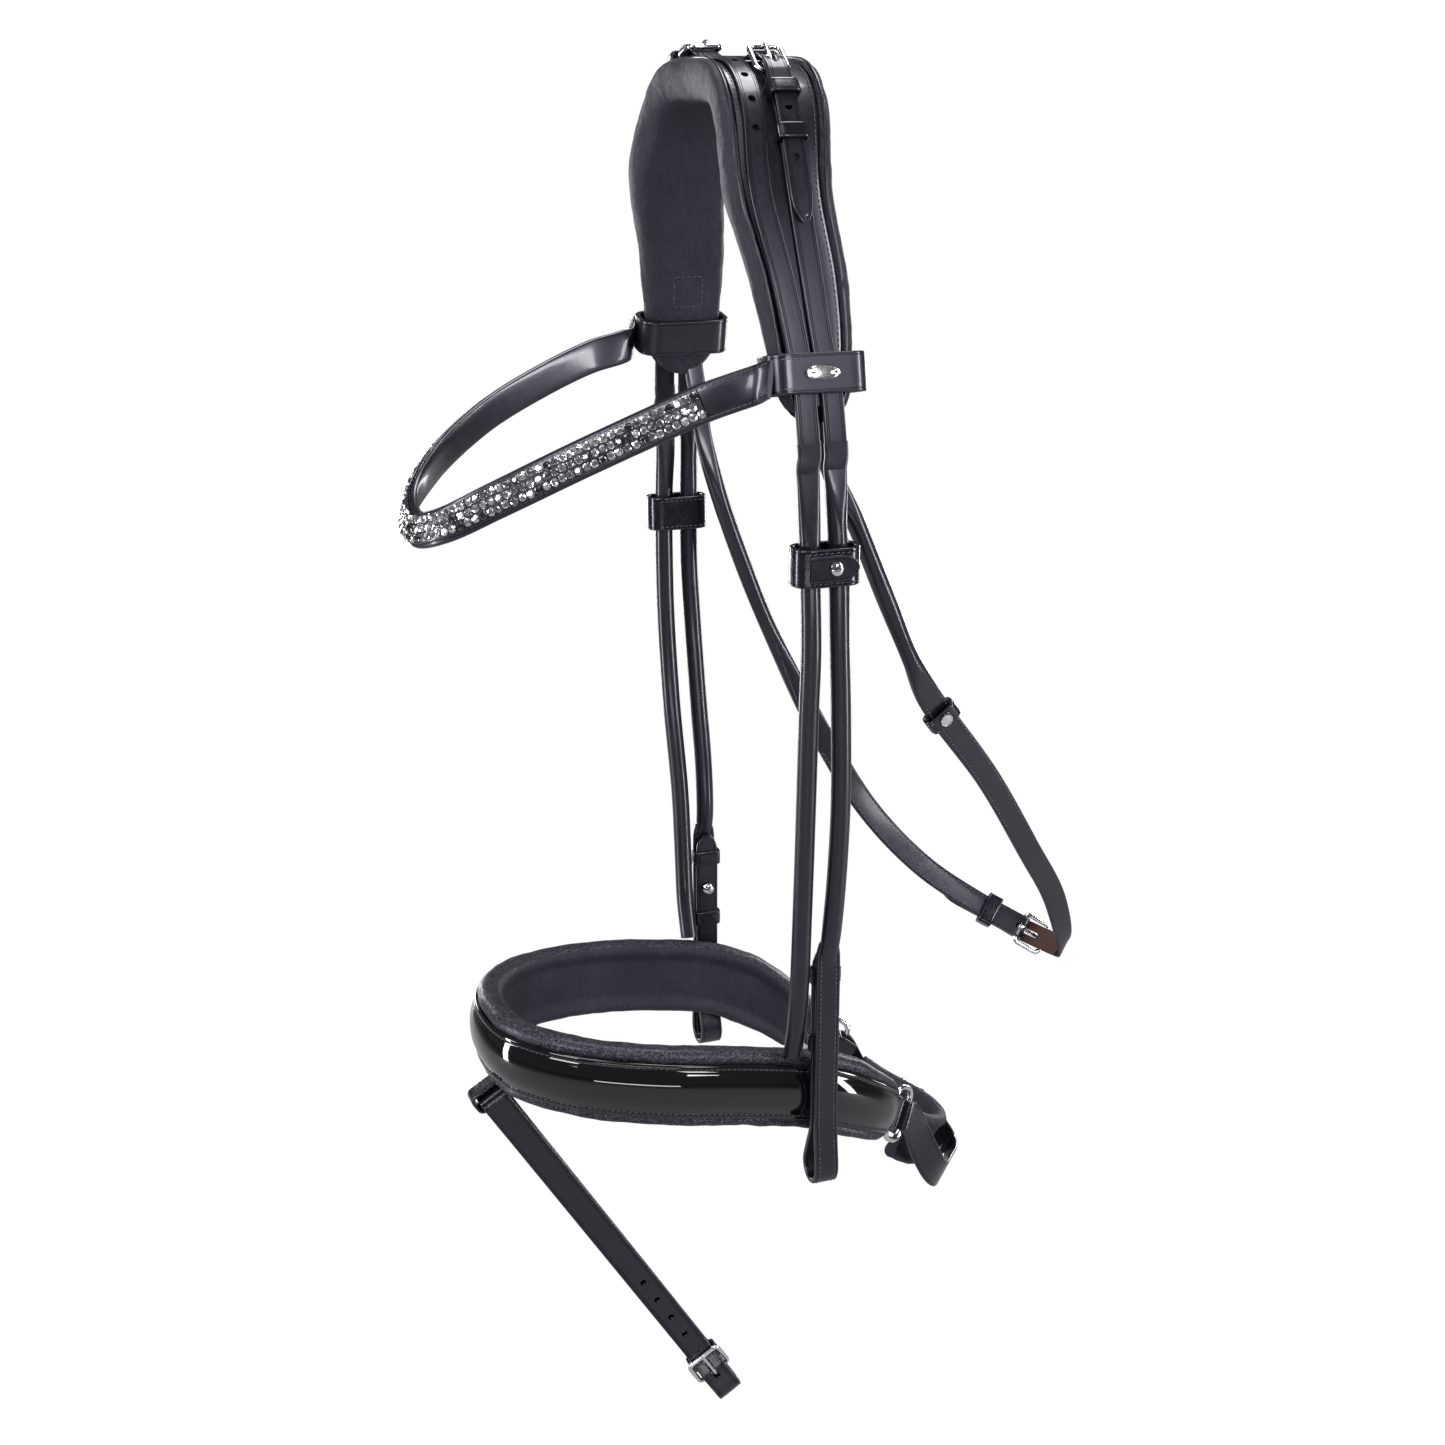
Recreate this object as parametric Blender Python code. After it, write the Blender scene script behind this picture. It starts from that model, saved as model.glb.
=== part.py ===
"""Snaffle bridle: padded headpiece, crystal browband, cranked noseband with a flash strap.

Frame: +Z up, -Y towards the horse's nose, +X the horse's left side. The origin is the underside of the
headpiece at the crown, where the bridle rests on the poll. Driving sizes below are in millimetres.
"""
import bmesh
import bpy
import numpy as np
from math import atan2, ceil, cos, pi, sin
from mathutils import Matrix, Vector

MM = 0.001
GAP = 0.35              # between pieces that touch
ROUND_SHARE = 0.293     # corner cut of an even octagon, as a share of its width
X_AXIS, Y_AXIS, Z_AXIS = Vector((1, 0, 0)), Vector((0, 1, 0)), Vector((0, 0, 1))

# headpiece: the bed's outer surface is an arch, z = ARCH_TOP - ARCH_DROP * (|x| / ARCH_HALF) ^ ARCH_POWER
ARCH_TOP, ARCH_DROP, ARCH_HALF, ARCH_POWER = 18.0, 160.0, 96.0, 3.7
ARCH_STEP = 8.0        # spacing of the sections along the arch
ARCH_END = 23           # sections each side of the crown, less one
PAD_END = 199.0         # distance from the crown to the pad's tip
BED_THICK = 3.0
ROLL_WIDTH = 6.7        # the soft roll along each edge of the pad
# along the arch: distance from the crown, centre, width, depth of the pad, height of its rolls
PAD_TABLE = [(0, -3.5, 52.5, 18, 1.6), (60, -7.5, 52, 17.5, 1.6), (97, -11, 49, 17, 1.4), (140, -5, 44, 14, 0.2),
             (165, -3.0, 40.5, 12.5, -0.4), (180, -2.5, 37, 11.5, -0.4), (190, -1.8, 33, 10.5, -0.4),
             (200, -1.5, 26, 9, -0.4)]
NOSE_STRAP_Y = [(0, -16.5), (60, -19), (97, -22), (140, -15), (165, -11.2), (192, -8.5), (205, -7.8)]
CHEEK_STRAP_Y = [(0, -4.0), (60, -4.3), (97, -4.5), (140, -1.8), (165, 0.6), (192, 4.2), (205, 5.0)]

STRAP_WIDTH, STRAP_THICK = 10.5, 2.2
LEAF = 1.6              # leather thickness where it is folded round a buckle
STRAP_LIFT = 1.5        # middle of a strap above the bed
ROLLED = 9.4            # diameter of the rolled straps
ROUND_CORNER = ROLLED * ROUND_SHARE
SWING_Z = -150.0        # where the lower bridle bends under the headpiece
SWING_GAP = 2.0         # half the gap left there

# buckles: u runs from the heel bar to the end bar, v up from the surface below
WIRE = 2.6              # diameter of the buckle wire
HEEL_V, END_V, BUCKLE_LENGTH = 3.4, 5.6, 15.0
FOLD_RADIUS = WIRE / 2 + 0.2 + LEAF / 2
TONGUE_THICK, TONGUE_WIDTH, SLOT_WIDTH = 1.6, 2.2, 3.2
WIRE_CLEAR = 0.85       # from a strap's edge to the buckle's side wire
HOLE_RADIUS, HOLE_PITCH = 1.6, 14.0
# (u, v) lines of the folded strap end round the heel bar, and of the punched end through the buckle
CHAPE_LINE = [(-10.5, 3.4), (-7, 3.7), (-3.8, 4.8), (0, HEEL_V + FOLD_RADIUS), (1.63, 5.03), (FOLD_RADIUS, HEEL_V),
              (1.63, 1.77), (0, HEEL_V - FOLD_RADIUS), (-5, 1.1), (-12, 1.1)]
BILLET_LINE = [(22, 1.5), (15, 2.75), (8.5, 5.05), (2, 7.45), (-3.5, 7.1), (-9, 5.7), (-14, 5.4)]
# distance of each keeper from its heel bar, and the height of its opening
NOSE_KEEPERS, CHEEK_KEEPERS = [(13, 6.9), (30, 6.0)], [(13, 6.9), (33, 5.6)]
NOSE_HEEL_S, CHEEK_HEEL_S = -22, 42     # the poll buckles' heel bars, from the crown
NOSE_TIP, CHEEK_TIP = 48, 72            # reach of the punched ends past their heel bars

# lower bridle
# x, y, z of the left straps; the right ones run further forward by RIGHT_FORWARD
NOSE_HANGER = [(97.4, -8.6, -152), (97.4, -7.9, -172), (96.6, -6.6, -196), (95.4, -5.0, -235),
               (92.8, -4.6, -265), (89.6, -4.0, -311), (86.6, -3.8, -363), (84.4, -3.8, -400), (81.5, -3.8, -425),
               (76.0, -3.4, -445.5)]
CHEEK_ROLLED = [(97.4, 4.4, -152), (97.4, 5.4, -172), (96.6, 7.2, -196), (95.4, 9.0, -235), (94.0, 10.8, -265),
                (92.2, 12.4, -311), (90.0, 12.0, -350), (88.4, 10.6, -378)]
RIGHT_FORWARD = [(-378, 0.0), (-350, 1.6), (-311, 4.2), (-265, 5.2), (-235, 4.6), (-196, 2.4), (-172, 0.0)]
BILLET_Y, BILLET_WIDTH, BILLET_LEAF = 9.4, 12.2, 2.6
BILLET_OUT_X, BILLET_IN_X = 87.4, 82.6      # the two leaves either side of the bit ring's loop
LOOP_TURN_X, LOOP_TURN_Z, LOOP_TURN_RADIUS = 82.4, -506.0, 7.4
STUD_Z, BILLET_KEEPER_Z = -420.0, (-402.0, -438.0)
CHEEK_KEEPER_LEFT, CHEEK_KEEPER_RIGHT = Vector((96.6, 0.3, -196.0)), Vector((-96.2, -2.4, -208.0))
CHEEK_KEEPER_WIDTH, CHEEK_KEEPER_DEPTH, CHEEK_KEEPER_HEIGHT, CHEEK_KEEPER_WALL = 27.6, 12.8, 17.5, 2.2
NOSEBAND_HALF = [(0, -139.5, -449), (30, -133.5, -449.5), (55, -110, -451.5), (70.5, -70, -456),
                 (74.8, -20, -463.5), (73.8, 15, -472.5), (67, 43, -487.5), (55, 62, -501)]
LINING_HEIGHT, LINING_THICK = 40.5, 12.0
PATENT_HEIGHT, PATENT_THICK = 28.0, 4.0
PATENT_GAP = 1.1        # the curved facets of the two layers need more room than flat ones
NARROWS = 45.0          # length over which the band tapers at each end
# the browband from the middle to its left and right loops; it hangs a little fuller on the right
BROWBAND_LEFT = [(0, -162, -187), (20, -154, -182), (38, -133, -168.5), (55, -101, -150.5), (69, -70, -134.5),
                 (78.5, -50.5, -124.5), (88, -30.6, -116.5)]
BROWBAND_RIGHT = [(-22, -159, -180), (-41, -142, -164), (-59, -113, -146), (-74, -79, -132),
                  (-83, -52, -123), (-88, -30.6, -118)]
BROWBAND_UP = (0, 0.25, 1)
BROWBAND_WIDTH, BROWBAND_THICK = 17.0, 4.2
CRYSTAL_WIDTH, CRYSTAL_THICK = 13.0, 2.8
LOOP_S, LOOP_HEIGHT, LOOP_WALL = 178.0, 17.5, 2.4     # the loops' distance from the crown along the arch
LOOP_ROOM_Y, LOOP_ROOM, LOOP_RAISE = 4.8, 6.4, 3.2    # an opening larger than the pad, moved outwards
OUTWARD = -1.0          # the way a band's own outward direction points for routes that run right to left
CHAPE_WIDTH, CHAPE_THICK, CHAPE_INSET = 18.0, 2.0, 3.0
WIRE_RING, RING_BAR, RING_LENGTH, RING_HEIGHT = 3.0, 4.2, 15.0, 28.0

# throatlatch
THROAT_PIVOT = (6.0, -147.0)
THROAT_ACROSS = (0, 0.87, 0.49)
THROAT_LEFT = [(83, 6, -148), (81.5, 11, -161), (80.5, 22, -181), (79.5, 39, -219), (76.5, 55.5, -253)]
THROAT_LEFT_FLAT = [(71.5, 67, -272), (56, 109, -323), (41, 142, -370), (24, 170, -410)]
THROAT_RIGHT = [(-82, 6, -148), (-80, 7, -165), (-78, 13.5, -192), (-78, 29, -236), (-77, 46, -277)]
THROAT_RIGHT_FLAT = [(-65, 75, -340), (-52, 96, -377), (-35, 121, -406)]
THROAT_ROLLED, THROAT_WIDTH, THROAT_THICK = 9.0, 12.4, 2.4
THROAT_BUCKLE = Vector((-4.5, 166.5, -436.0))     # on the strap, below the heel bar
THROAT_U = Vector((0.5, 0.75, -0.43))
THROAT_V = Vector((-0.828, 0.274, -0.485))
RUNNER_DEPTH, RUNNER_WALL, RUNNER_STATION = 4.6, 1.8, 7
PLATE_RADIUS, PLATE_THICK = 3.4, 1.0

# flash strap
FLASH_DOWN = Vector((0, 0.53, -0.848))
FLASH_ACROSS = Vector((0, 0.848, 0.53))
FLASH_TOP = Vector((0, -138.2, -479.6))
FLASH_DROP = 227.0      # from the loop to the buckle's heel bar
FLASH_WIDTH = 14.5

# chin strap and pad
CHIN_UP = (0, 0.5, 0.87)
CHIN_PAD_HALF = [(0, 108, -545), (17, 103, -543), (28, 90, -536), (33.5, 78, -527)]
CHIN_PAD_WIDTH, CHIN_PAD_THICK = 30.0, 8.0
CHIN_LEFT = [(44.5, 85, -531), (42, 94, -548), (37.5, 100, -554), (28, 107.5, -556.5), (15, 117, -559),
             (0, 122, -560)]
CHIN_WIDTH = 16.0
CHIN_BUCKLE = Vector((-31.5, 102.5, -541.0))
CHIN_U = Vector((0.83, 0.5, -0.22))
CHIN_V = Vector((-0.545, 0.72, -0.415))

NAMES = {1: "left", -1: "right"}
COLOURS = {"leather": (0.02, 0.019, 0.023), "pad": (0.035, 0.034, 0.04), "patent": (0.006, 0.006, 0.008),
           "steel": (0.8, 0.8, 0.82), "crystal": (0.35, 0.35, 0.38)}
FINISHES = {"leather": (0.35, 0.0), "pad": (0.65, 0.0), "patent": (0.06, 0.0), "steel": (0.12, 1.0),
            "crystal": (0.05, 0.0)}


def clear_scene():
    for obj in list(bpy.data.objects):
        bpy.data.objects.remove(obj, do_unlink=True)


def collection(name):
    made = bpy.data.collections.new(name)
    bpy.context.scene.collection.children.link(made)
    return made


def material(name, kind):
    made = bpy.data.materials.new(name)
    made.use_nodes = True
    shader = made.node_tree.nodes["Principled BSDF"]
    roughness, metallic = FINISHES[kind]
    shader.inputs["Base Color"].default_value = (*COLOURS[kind], 1.0)
    shader.inputs["Roughness"].default_value = roughness
    shader.inputs["Metallic"].default_value = metallic
    return made


def add_mesh(name, points, faces, kind):
    """A mesh object from points in millimetres."""
    mesh = bpy.data.meshes.new(name)
    mesh.from_pydata([tuple(Vector(p) * MM) for p in points], [], faces)
    mesh.materials.append(material(name, kind))
    obj = bpy.data.objects.new(name, mesh)
    PARTS.objects.link(obj)
    work = bmesh.new()
    work.from_mesh(mesh)
    bmesh.ops.recalc_face_normals(work, faces=work.faces)
    work.to_mesh(mesh)
    work.free()
    mesh.shade_smooth()
    mesh.set_sharp_from_angle(angle=0.6)
    return obj


def set_origin(obj, point):
    """Moves the object's origin to a point in millimetres, leaving its surface where it is."""
    place = Vector(point) * MM
    obj.data.transform(Matrix.Translation(-place))
    obj.location = place


# ---------------------------------------------------------------- curves

def spline(rows, step=0.6):
    """Points every step along a smooth curve through the rows; columns after the third come along."""
    rows = np.array(rows, float)
    gaps = np.linalg.norm(np.diff(rows[:, :3], axis=0), axis=1)
    at = np.concatenate(([0], np.cumsum(np.sqrt(gaps))))
    slope = np.gradient(rows, at, axis=0, edge_order=1)
    out = []
    for i, gap in enumerate(gaps):
        span = at[i + 1] - at[i]
        count = max(2, ceil(gap / step))
        for t in np.arange(count) / count:
            a, b = 2 * t ** 3 - 3 * t ** 2 + 1, t ** 3 - 2 * t ** 2 + t
            c, d = -2 * t ** 3 + 3 * t ** 2, t ** 3 - t ** 2
            out.append(a * rows[i] + b * span * slope[i] + c * rows[i + 1] + d * span * slope[i + 1])
    out.append(rows[-1])
    return np.array(out)


def thin_out(rows, longest, turn=0.22):
    """Keeps as few of the rows as a lofted piece needs: closer together where the curve turns."""
    ways = np.diff(rows[:, :3], axis=0)
    ways /= np.linalg.norm(ways, axis=1)[:, None]
    kept = [0]
    for i in range(1, len(rows) - 1):
        far = np.linalg.norm(rows[i, :3] - rows[kept[-1], :3])
        bend = np.arccos(np.clip(ways[i] @ ways[kept[-1]], -1, 1))
        if far > longest or (bend > turn and far > 0.5):
            kept.append(i)
    return rows[kept + [len(rows) - 1]]


def table_value(table, at):
    """Values between the rows of a table, on a smooth curve, with the first column as the position."""
    table = np.array(table, float)
    slope = np.gradient(table, table[:, 0], axis=0)
    i = int(np.clip(np.searchsorted(table[:, 0], at) - 1, 0, len(table) - 2))
    span = table[i + 1, 0] - table[i, 0]
    t = np.clip((at - table[i, 0]) / span, 0, 1)
    a, b = 2 * t ** 3 - 3 * t ** 2 + 1, t ** 3 - 2 * t ** 2 + t
    c, d = -2 * t ** 3 + 3 * t ** 2, t ** 3 - t ** 2
    found = a * table[i] + b * span * slope[i] + c * table[i + 1] + d * span * slope[i + 1]
    return found[1:]


def arch_table():
    """Distance along the arch, x and z, from the crown to beyond the end of the headpiece."""
    x = np.concatenate((np.linspace(0, 60, 200, endpoint=False), np.linspace(60, 98.5, 600)))
    z = ARCH_TOP - ARCH_DROP * (x / ARCH_HALF) ** ARCH_POWER
    along = np.concatenate(([0], np.cumsum(np.hypot(np.diff(x), np.diff(z)))))
    return along, x, z


ARCH = arch_table()


def arch(s, lift=0.0, y=0.0):
    """The point at distance s from the crown (positive to the left), lifted off the bed."""
    along, xs, zs = ARCH
    x = np.interp(abs(s), along, xs)
    z = np.interp(abs(s), along, zs)
    tilt = arch_tilt(s)
    return Vector((x * np.sign(s) + sin(tilt) * lift, y, z + cos(tilt) * lift))


def arch_tilt(s):
    """The angle of the arch's outward normal from straight up, positive to the left."""
    along, xs, _ = ARCH
    x = np.interp(abs(s), along, xs)
    slope = ARCH_DROP * ARCH_POWER / ARCH_HALF * (x / ARCH_HALF) ** (ARCH_POWER - 1)
    return atan2(slope, 1) * np.sign(s)


def arch_stations():
    return [(k + 0.5) * ARCH_STEP for k in range(-ARCH_END - 1, ARCH_END + 1)]


# ---------------------------------------------------------------- lofts

def loft(name, rings, kind):
    """A closed body through rings of points, capped at both ends."""
    count = len(rings[0])
    points = [p for ring in rings for p in ring]
    faces = [tuple(range(count)), tuple(range(len(points) - count, len(points)))]
    for i in range(len(rings) - 1):
        for j in range(count):
            k = (j + 1) % count
            faces.append((i * count + j, i * count + k, (i + 1) * count + k, (i + 1) * count + j))
    return add_mesh(name, points, faces, kind)


def outline(width, thick, corner):
    """A strap's section: four corners, or eight where the corners are cut."""
    w, t = width / 2, thick / 2
    if corner <= 0.01:
        return [(w, -t), (w, t), (-w, t), (-w, -t)]
    return [(w, corner - t), (w, t - corner), (w - corner, t), (corner - w, t),
            (-w, t - corner), (-w, corner - t), (corner - w, -t), (w - corner, -t)]


def frames(rows, across):
    """For each row its point, way forward, way across and way out; across may be three more columns."""
    found = []
    for i, row in enumerate(rows):
        ahead, behind = rows[min(i + 1, len(rows) - 1)], rows[max(i - 1, 0)]
        forward = Vector(ahead[:3] - behind[:3]).normalized()
        side = Vector(row[6:9]) if across is None else Vector(across)
        side = (side - forward * side.dot(forward)).normalized()
        found.append((Vector(row[:3]), forward, side, side.cross(forward)))
    return found


def strap(name, rows, across, kind="leather", longest=14.0, sections=None, smooth=True):
    """A strap through rows of x, y, z, width, thickness and corner, its width lying along across."""
    rows = thin_out(spline(rows), longest) if smooth else np.array(rows, float)
    if rows[:, 5].max() > 0.01:
        rows[:, 5] = np.maximum(rows[:, 5], 0.3)
    rings = []
    for (point, _, side, out), row in zip(frames(rows, across), rows):
        shape = sections(row) if sections else outline(*row[3:6])
        rings.append([point + side * a + out * b for a, b in shape])
    return loft(name, rings, kind)


def mirrored(half):
    """Both halves of a route from its left half, which starts in the middle."""
    return [(-x, y, z) for x, y, z in half[:0:-1]] + half


def sized(points, width, thick, corner=0.0):
    return [(*p, width, thick, corner) for p in points]


def plate(name, shapes, thick, frame, kind):
    """A flat outline, with any further outlines as holes, extruded to both sides of its plane."""
    curve = bpy.data.curves.new(name, "CURVE")
    curve.dimensions = "2D"
    curve.fill_mode = "BOTH"
    curve.extrude = thick / 2 * MM
    for shape in shapes:
        line = curve.splines.new("POLY")
        line.points.add(len(shape) - 1)
        for point, (u, v) in zip(line.points, shape):
            point.co = (u * MM, v * MM, 0, 1)
        line.use_cyclic_u = True
    curve.materials.append(material(name, kind))
    return solid_from_curve(name, curve, frame)


def wire_loop(name, points, wire, frame, kind="steel"):
    """A closed loop of round wire through points in the frame's own plane."""
    curve = bpy.data.curves.new(name, "CURVE")
    curve.dimensions = "3D"
    curve.bevel_depth = wire / 2 * MM
    curve.bevel_resolution = 1
    line = curve.splines.new("POLY")
    line.points.add(len(points) - 1)
    for point, place in zip(line.points, points):
        point.co = (*(Vector(place) * MM), 1)
    line.use_cyclic_u = True
    curve.materials.append(material(name, kind))
    return solid_from_curve(name, curve, frame)


def solid_from_curve(name, curve, frame):
    """The curve's surface as a welded mesh, placed by a frame in millimetres."""
    guide = bpy.data.objects.new(name + "_guide", curve)
    PARTS.objects.link(guide)
    ready = guide.evaluated_get(bpy.context.evaluated_depsgraph_get())
    mesh = bpy.data.meshes.new_from_object(ready)
    mesh.name = name
    bpy.data.objects.remove(guide, do_unlink=True)
    work = bmesh.new()
    work.from_mesh(mesh)
    bmesh.ops.remove_doubles(work, verts=work.verts, dist=1e-6)
    bmesh.ops.recalc_face_normals(work, faces=work.faces)
    work.to_mesh(mesh)
    work.free()
    obj = bpy.data.objects.new(name, mesh)
    PARTS.objects.link(obj)
    placed = frame.copy()
    placed.translation = frame.translation * MM
    mesh.transform(placed)
    return obj


def frame_from(origin, u, v):
    """A frame whose x and y axes are u and v, as a matrix with its place in millimetres."""
    u, v = Vector(u).normalized(), Vector(v)
    v = (v - u * v.dot(u)).normalized()
    w = u.cross(v)
    made = Matrix((u, v, w)).transposed().to_4x4()
    made.translation = Vector(origin)
    return made


def rounded(u0, u1, v0, v1, radius, steps=2):
    """A rectangle with round corners."""
    points = []
    corners = [(u1 - radius, v0 + radius, -90), (u1 - radius, v1 - radius, 0),
               (u0 + radius, v1 - radius, 90), (u0 + radius, v0 + radius, 180)]
    for u, v, start in corners:
        for k in range(steps + 1):
            angle = (start + 90 * k / steps) * pi / 180
            points.append((u + radius * cos(angle), v + radius * sin(angle)))
    return points


def circle(u, v, radius, count=10):
    return [(u + radius * cos(2 * pi * k / count), v + radius * sin(2 * pi * k / count)) for k in range(count)]


def cut_box(obj, frame, low, high):
    """Cuts a box, given in a frame, out of an object."""
    bpy.ops.mesh.primitive_cube_add(size=1)
    tool = bpy.context.active_object
    tool.name = obj.name + "_cutter"
    low, high = Vector(low), Vector(high)
    size = Matrix.Diagonal((*((high - low) * MM), 1))
    place = frame.copy()
    place.translation = (frame @ ((low + high) / 2)) * MM
    tool.data.transform(place @ size)
    cut(obj, tool)


def cut(obj, tool):
    for holder in list(tool.users_collection):
        holder.objects.unlink(tool)
    CUTTERS.objects.link(tool)
    tool.hide_render = True
    tool.display_type = "WIRE"
    modifier = obj.modifiers.new("cut", "BOOLEAN")
    modifier.object = tool
    modifier.operation = "DIFFERENCE"
    modifier.solver = "EXACT"


def cut_hole(obj, point, axis, radius, depth):
    """Cuts a round hole through an object at a point, along an axis."""
    bpy.ops.mesh.primitive_cylinder_add(vertices=8, radius=radius * MM, depth=depth * MM)
    tool = bpy.context.active_object
    tool.name = obj.name + "_cutter"
    turn = Vector(axis).to_track_quat("Z", "Y").to_matrix().to_4x4()
    tool.data.transform(Matrix.Translation(Vector(point) * MM) @ turn)
    cut(obj, tool)


# ---------------------------------------------------------------- buckles

def local(frame, u, v, w=0.0):
    """A point u along, v above and w across a buckle's frame."""
    return tuple(frame @ Vector((u, v, w)))


def buckle_frame(name, frame, half_width):
    """The bent wire frame: heel bar at u = 0, end bar raised."""
    side = half_width + WIRE_CLEAR + WIRE / 2
    slope = atan2(END_V - HEEL_V, BUCKLE_LENGTH)
    points = []
    for u, w in rounded(0, BUCKLE_LENGTH, -side, side, 2.2):
        points.append((u * cos(slope), HEEL_V + u * sin(slope), w))
    wire_loop(name, points, WIRE, frame)


def buckle_tongue(name, frame):
    """The tongue turns on the heel bar and rests on the end bar."""
    reach = BUCKLE_LENGTH + 2.0
    rest_v = END_V + WIRE / 2 + 0.2 + TONGUE_THICK / 2
    slope = atan2(rest_v - HEEL_V, BUCKLE_LENGTH)
    half, eye = TONGUE_THICK / 2, WIRE / 2 + 1.0
    start = atan2(half, eye)
    ring = [(eye * cos(start + (2 * pi - 2 * start) * k / 9), eye * sin(start + (2 * pi - 2 * start) * k / 9))
            for k in range(10)]
    shape = ring + [(reach - 1, -half), (reach, 0), (reach - 1, half)]
    shape = [(u * cos(slope) - v * sin(slope), HEEL_V + u * sin(slope) + v * cos(slope)) for u, v in shape]
    tongue = plate(name, [shape, circle(0, HEEL_V, WIRE / 2 + 0.09, 12)], TONGUE_WIDTH, frame, "steel")
    set_origin(tongue, local(frame, 0, HEEL_V))


def tongue_slots(frame, chape, billet):
    """Room for the tongue in the fold of leather and in the strap end that lies over it."""
    half = SLOT_WIDTH / 2
    cut_box(chape, frame, (-3.2, -0.5, -half), (4.5, 7.0, half))
    cut_box(billet, frame, (0.9, 2.6, -half), (10.8, 9.5, half))


def staple_keeper(name, frame, u0, u1, half, foot, top, wall=1.6):
    """A keeper whose two ends are stitched down beside the straps it holds."""
    inner, outer = half + 0.45, half + 0.45 + wall
    shape = [(-outer, foot), (-outer, top + wall - 1), (1 - outer, top + wall), (outer - 1, top + wall),
             (outer, top + wall - 1), (outer, foot), (inner, foot), (inner, top), (-inner, top), (-inner, foot)]
    middle = frame @ Vector(((u0 + u1) / 2, 0, 0))
    across, up = frame.to_3x3() @ Z_AXIS, frame.to_3x3() @ Y_AXIS
    plate(name, [shape], u1 - u0, frame_from(middle, across, up), "leather")


def loop_keeper(name, centre, across, out, width, depth, height, wall, kind="leather", radius=2.0):
    """A closed keeper: a band of leather round the straps, its opening width by depth."""
    a, b = width / 2, depth / 2
    inner = rounded(-a, a, -b, b, radius, 2)
    outer = rounded(-a - wall, a + wall, -b - wall, b + wall, radius + wall, 2)
    return plate(name, [outer, inner], height, frame_from(centre, across, out), kind)


# ---------------------------------------------------------------- headpiece

def make_pad():
    """The padded body, from tip to tip."""
    loft("headpiece_pad", [pad_ring(s) for s in [-PAD_END, *arch_stations(), PAD_END]], "pad")


def pad_ring(s):
    """The pad's section at a distance along the arch: a roll along each edge and a channel between them."""
    centre, width, depth, rise = table_value(PAD_TABLE, abs(s))
    half, roll = width / 2, ROLL_WIDTH
    floor = -BED_THICK - GAP
    shape = [(-half, -depth * 0.24), (0.9 - half, rise - 2.2), (roll * 0.5 - half, rise),
             (roll - 0.5 - half, rise - 1.5), (roll - half, floor), (half - roll, floor),
             (half - roll + 0.5, rise - 1.5), (half - roll * 0.5, rise), (half - 0.9, rise - 2.2),
             (half, -depth * 0.24), (half - 2.5, -depth * 0.8), (half - 9, -depth),
             (9 - half, -depth), (2.5 - half, -depth * 0.8)]
    return [arch(s, lift, centre + y) for y, lift in shape]


def make_bed():
    """The leather bed between the rolls that the straps lie on."""
    rings = []
    for s in arch_stations():
        centre, width, _, _ = table_value(PAD_TABLE, abs(s))
        half = width / 2 - ROLL_WIDTH - GAP
        rings.append([arch(s, lift, centre + y)
                      for y, lift in ((half, -BED_THICK), (half, 0), (-half, 0), (-half, -BED_THICK))])
    loft("headpiece_bed", rings, "leather")


def arch_rows(y_table, start, end, lift, width=STRAP_WIDTH, thick=STRAP_THICK):
    """Rows of a strap along the arch between two distances from the crown."""
    way = 1 if end > start else -1
    inside = [s for s in arch_stations()[::way] if (s - start) * way > 3 and (end - s) * way > 3]
    rows = []
    for s in [start, *inside, end]:
        y = table_value(y_table, abs(s))[0]
        rows.append((*arch(s, lift, y), width, thick, 0.0))
    return rows


def strap_end_rows(y_table, side):
    """From the headpiece's end down to the bend above the rolled strap."""
    y = table_value(y_table, 200)[0]
    y_end = table_value(y_table, 205)[0]
    return [(side * 96.8, y, -142, STRAP_WIDTH, STRAP_THICK, 0.0),
            (side * 97.2, y_end, SWING_Z + SWING_GAP, STRAP_WIDTH, STRAP_THICK, 0.0)]


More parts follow.
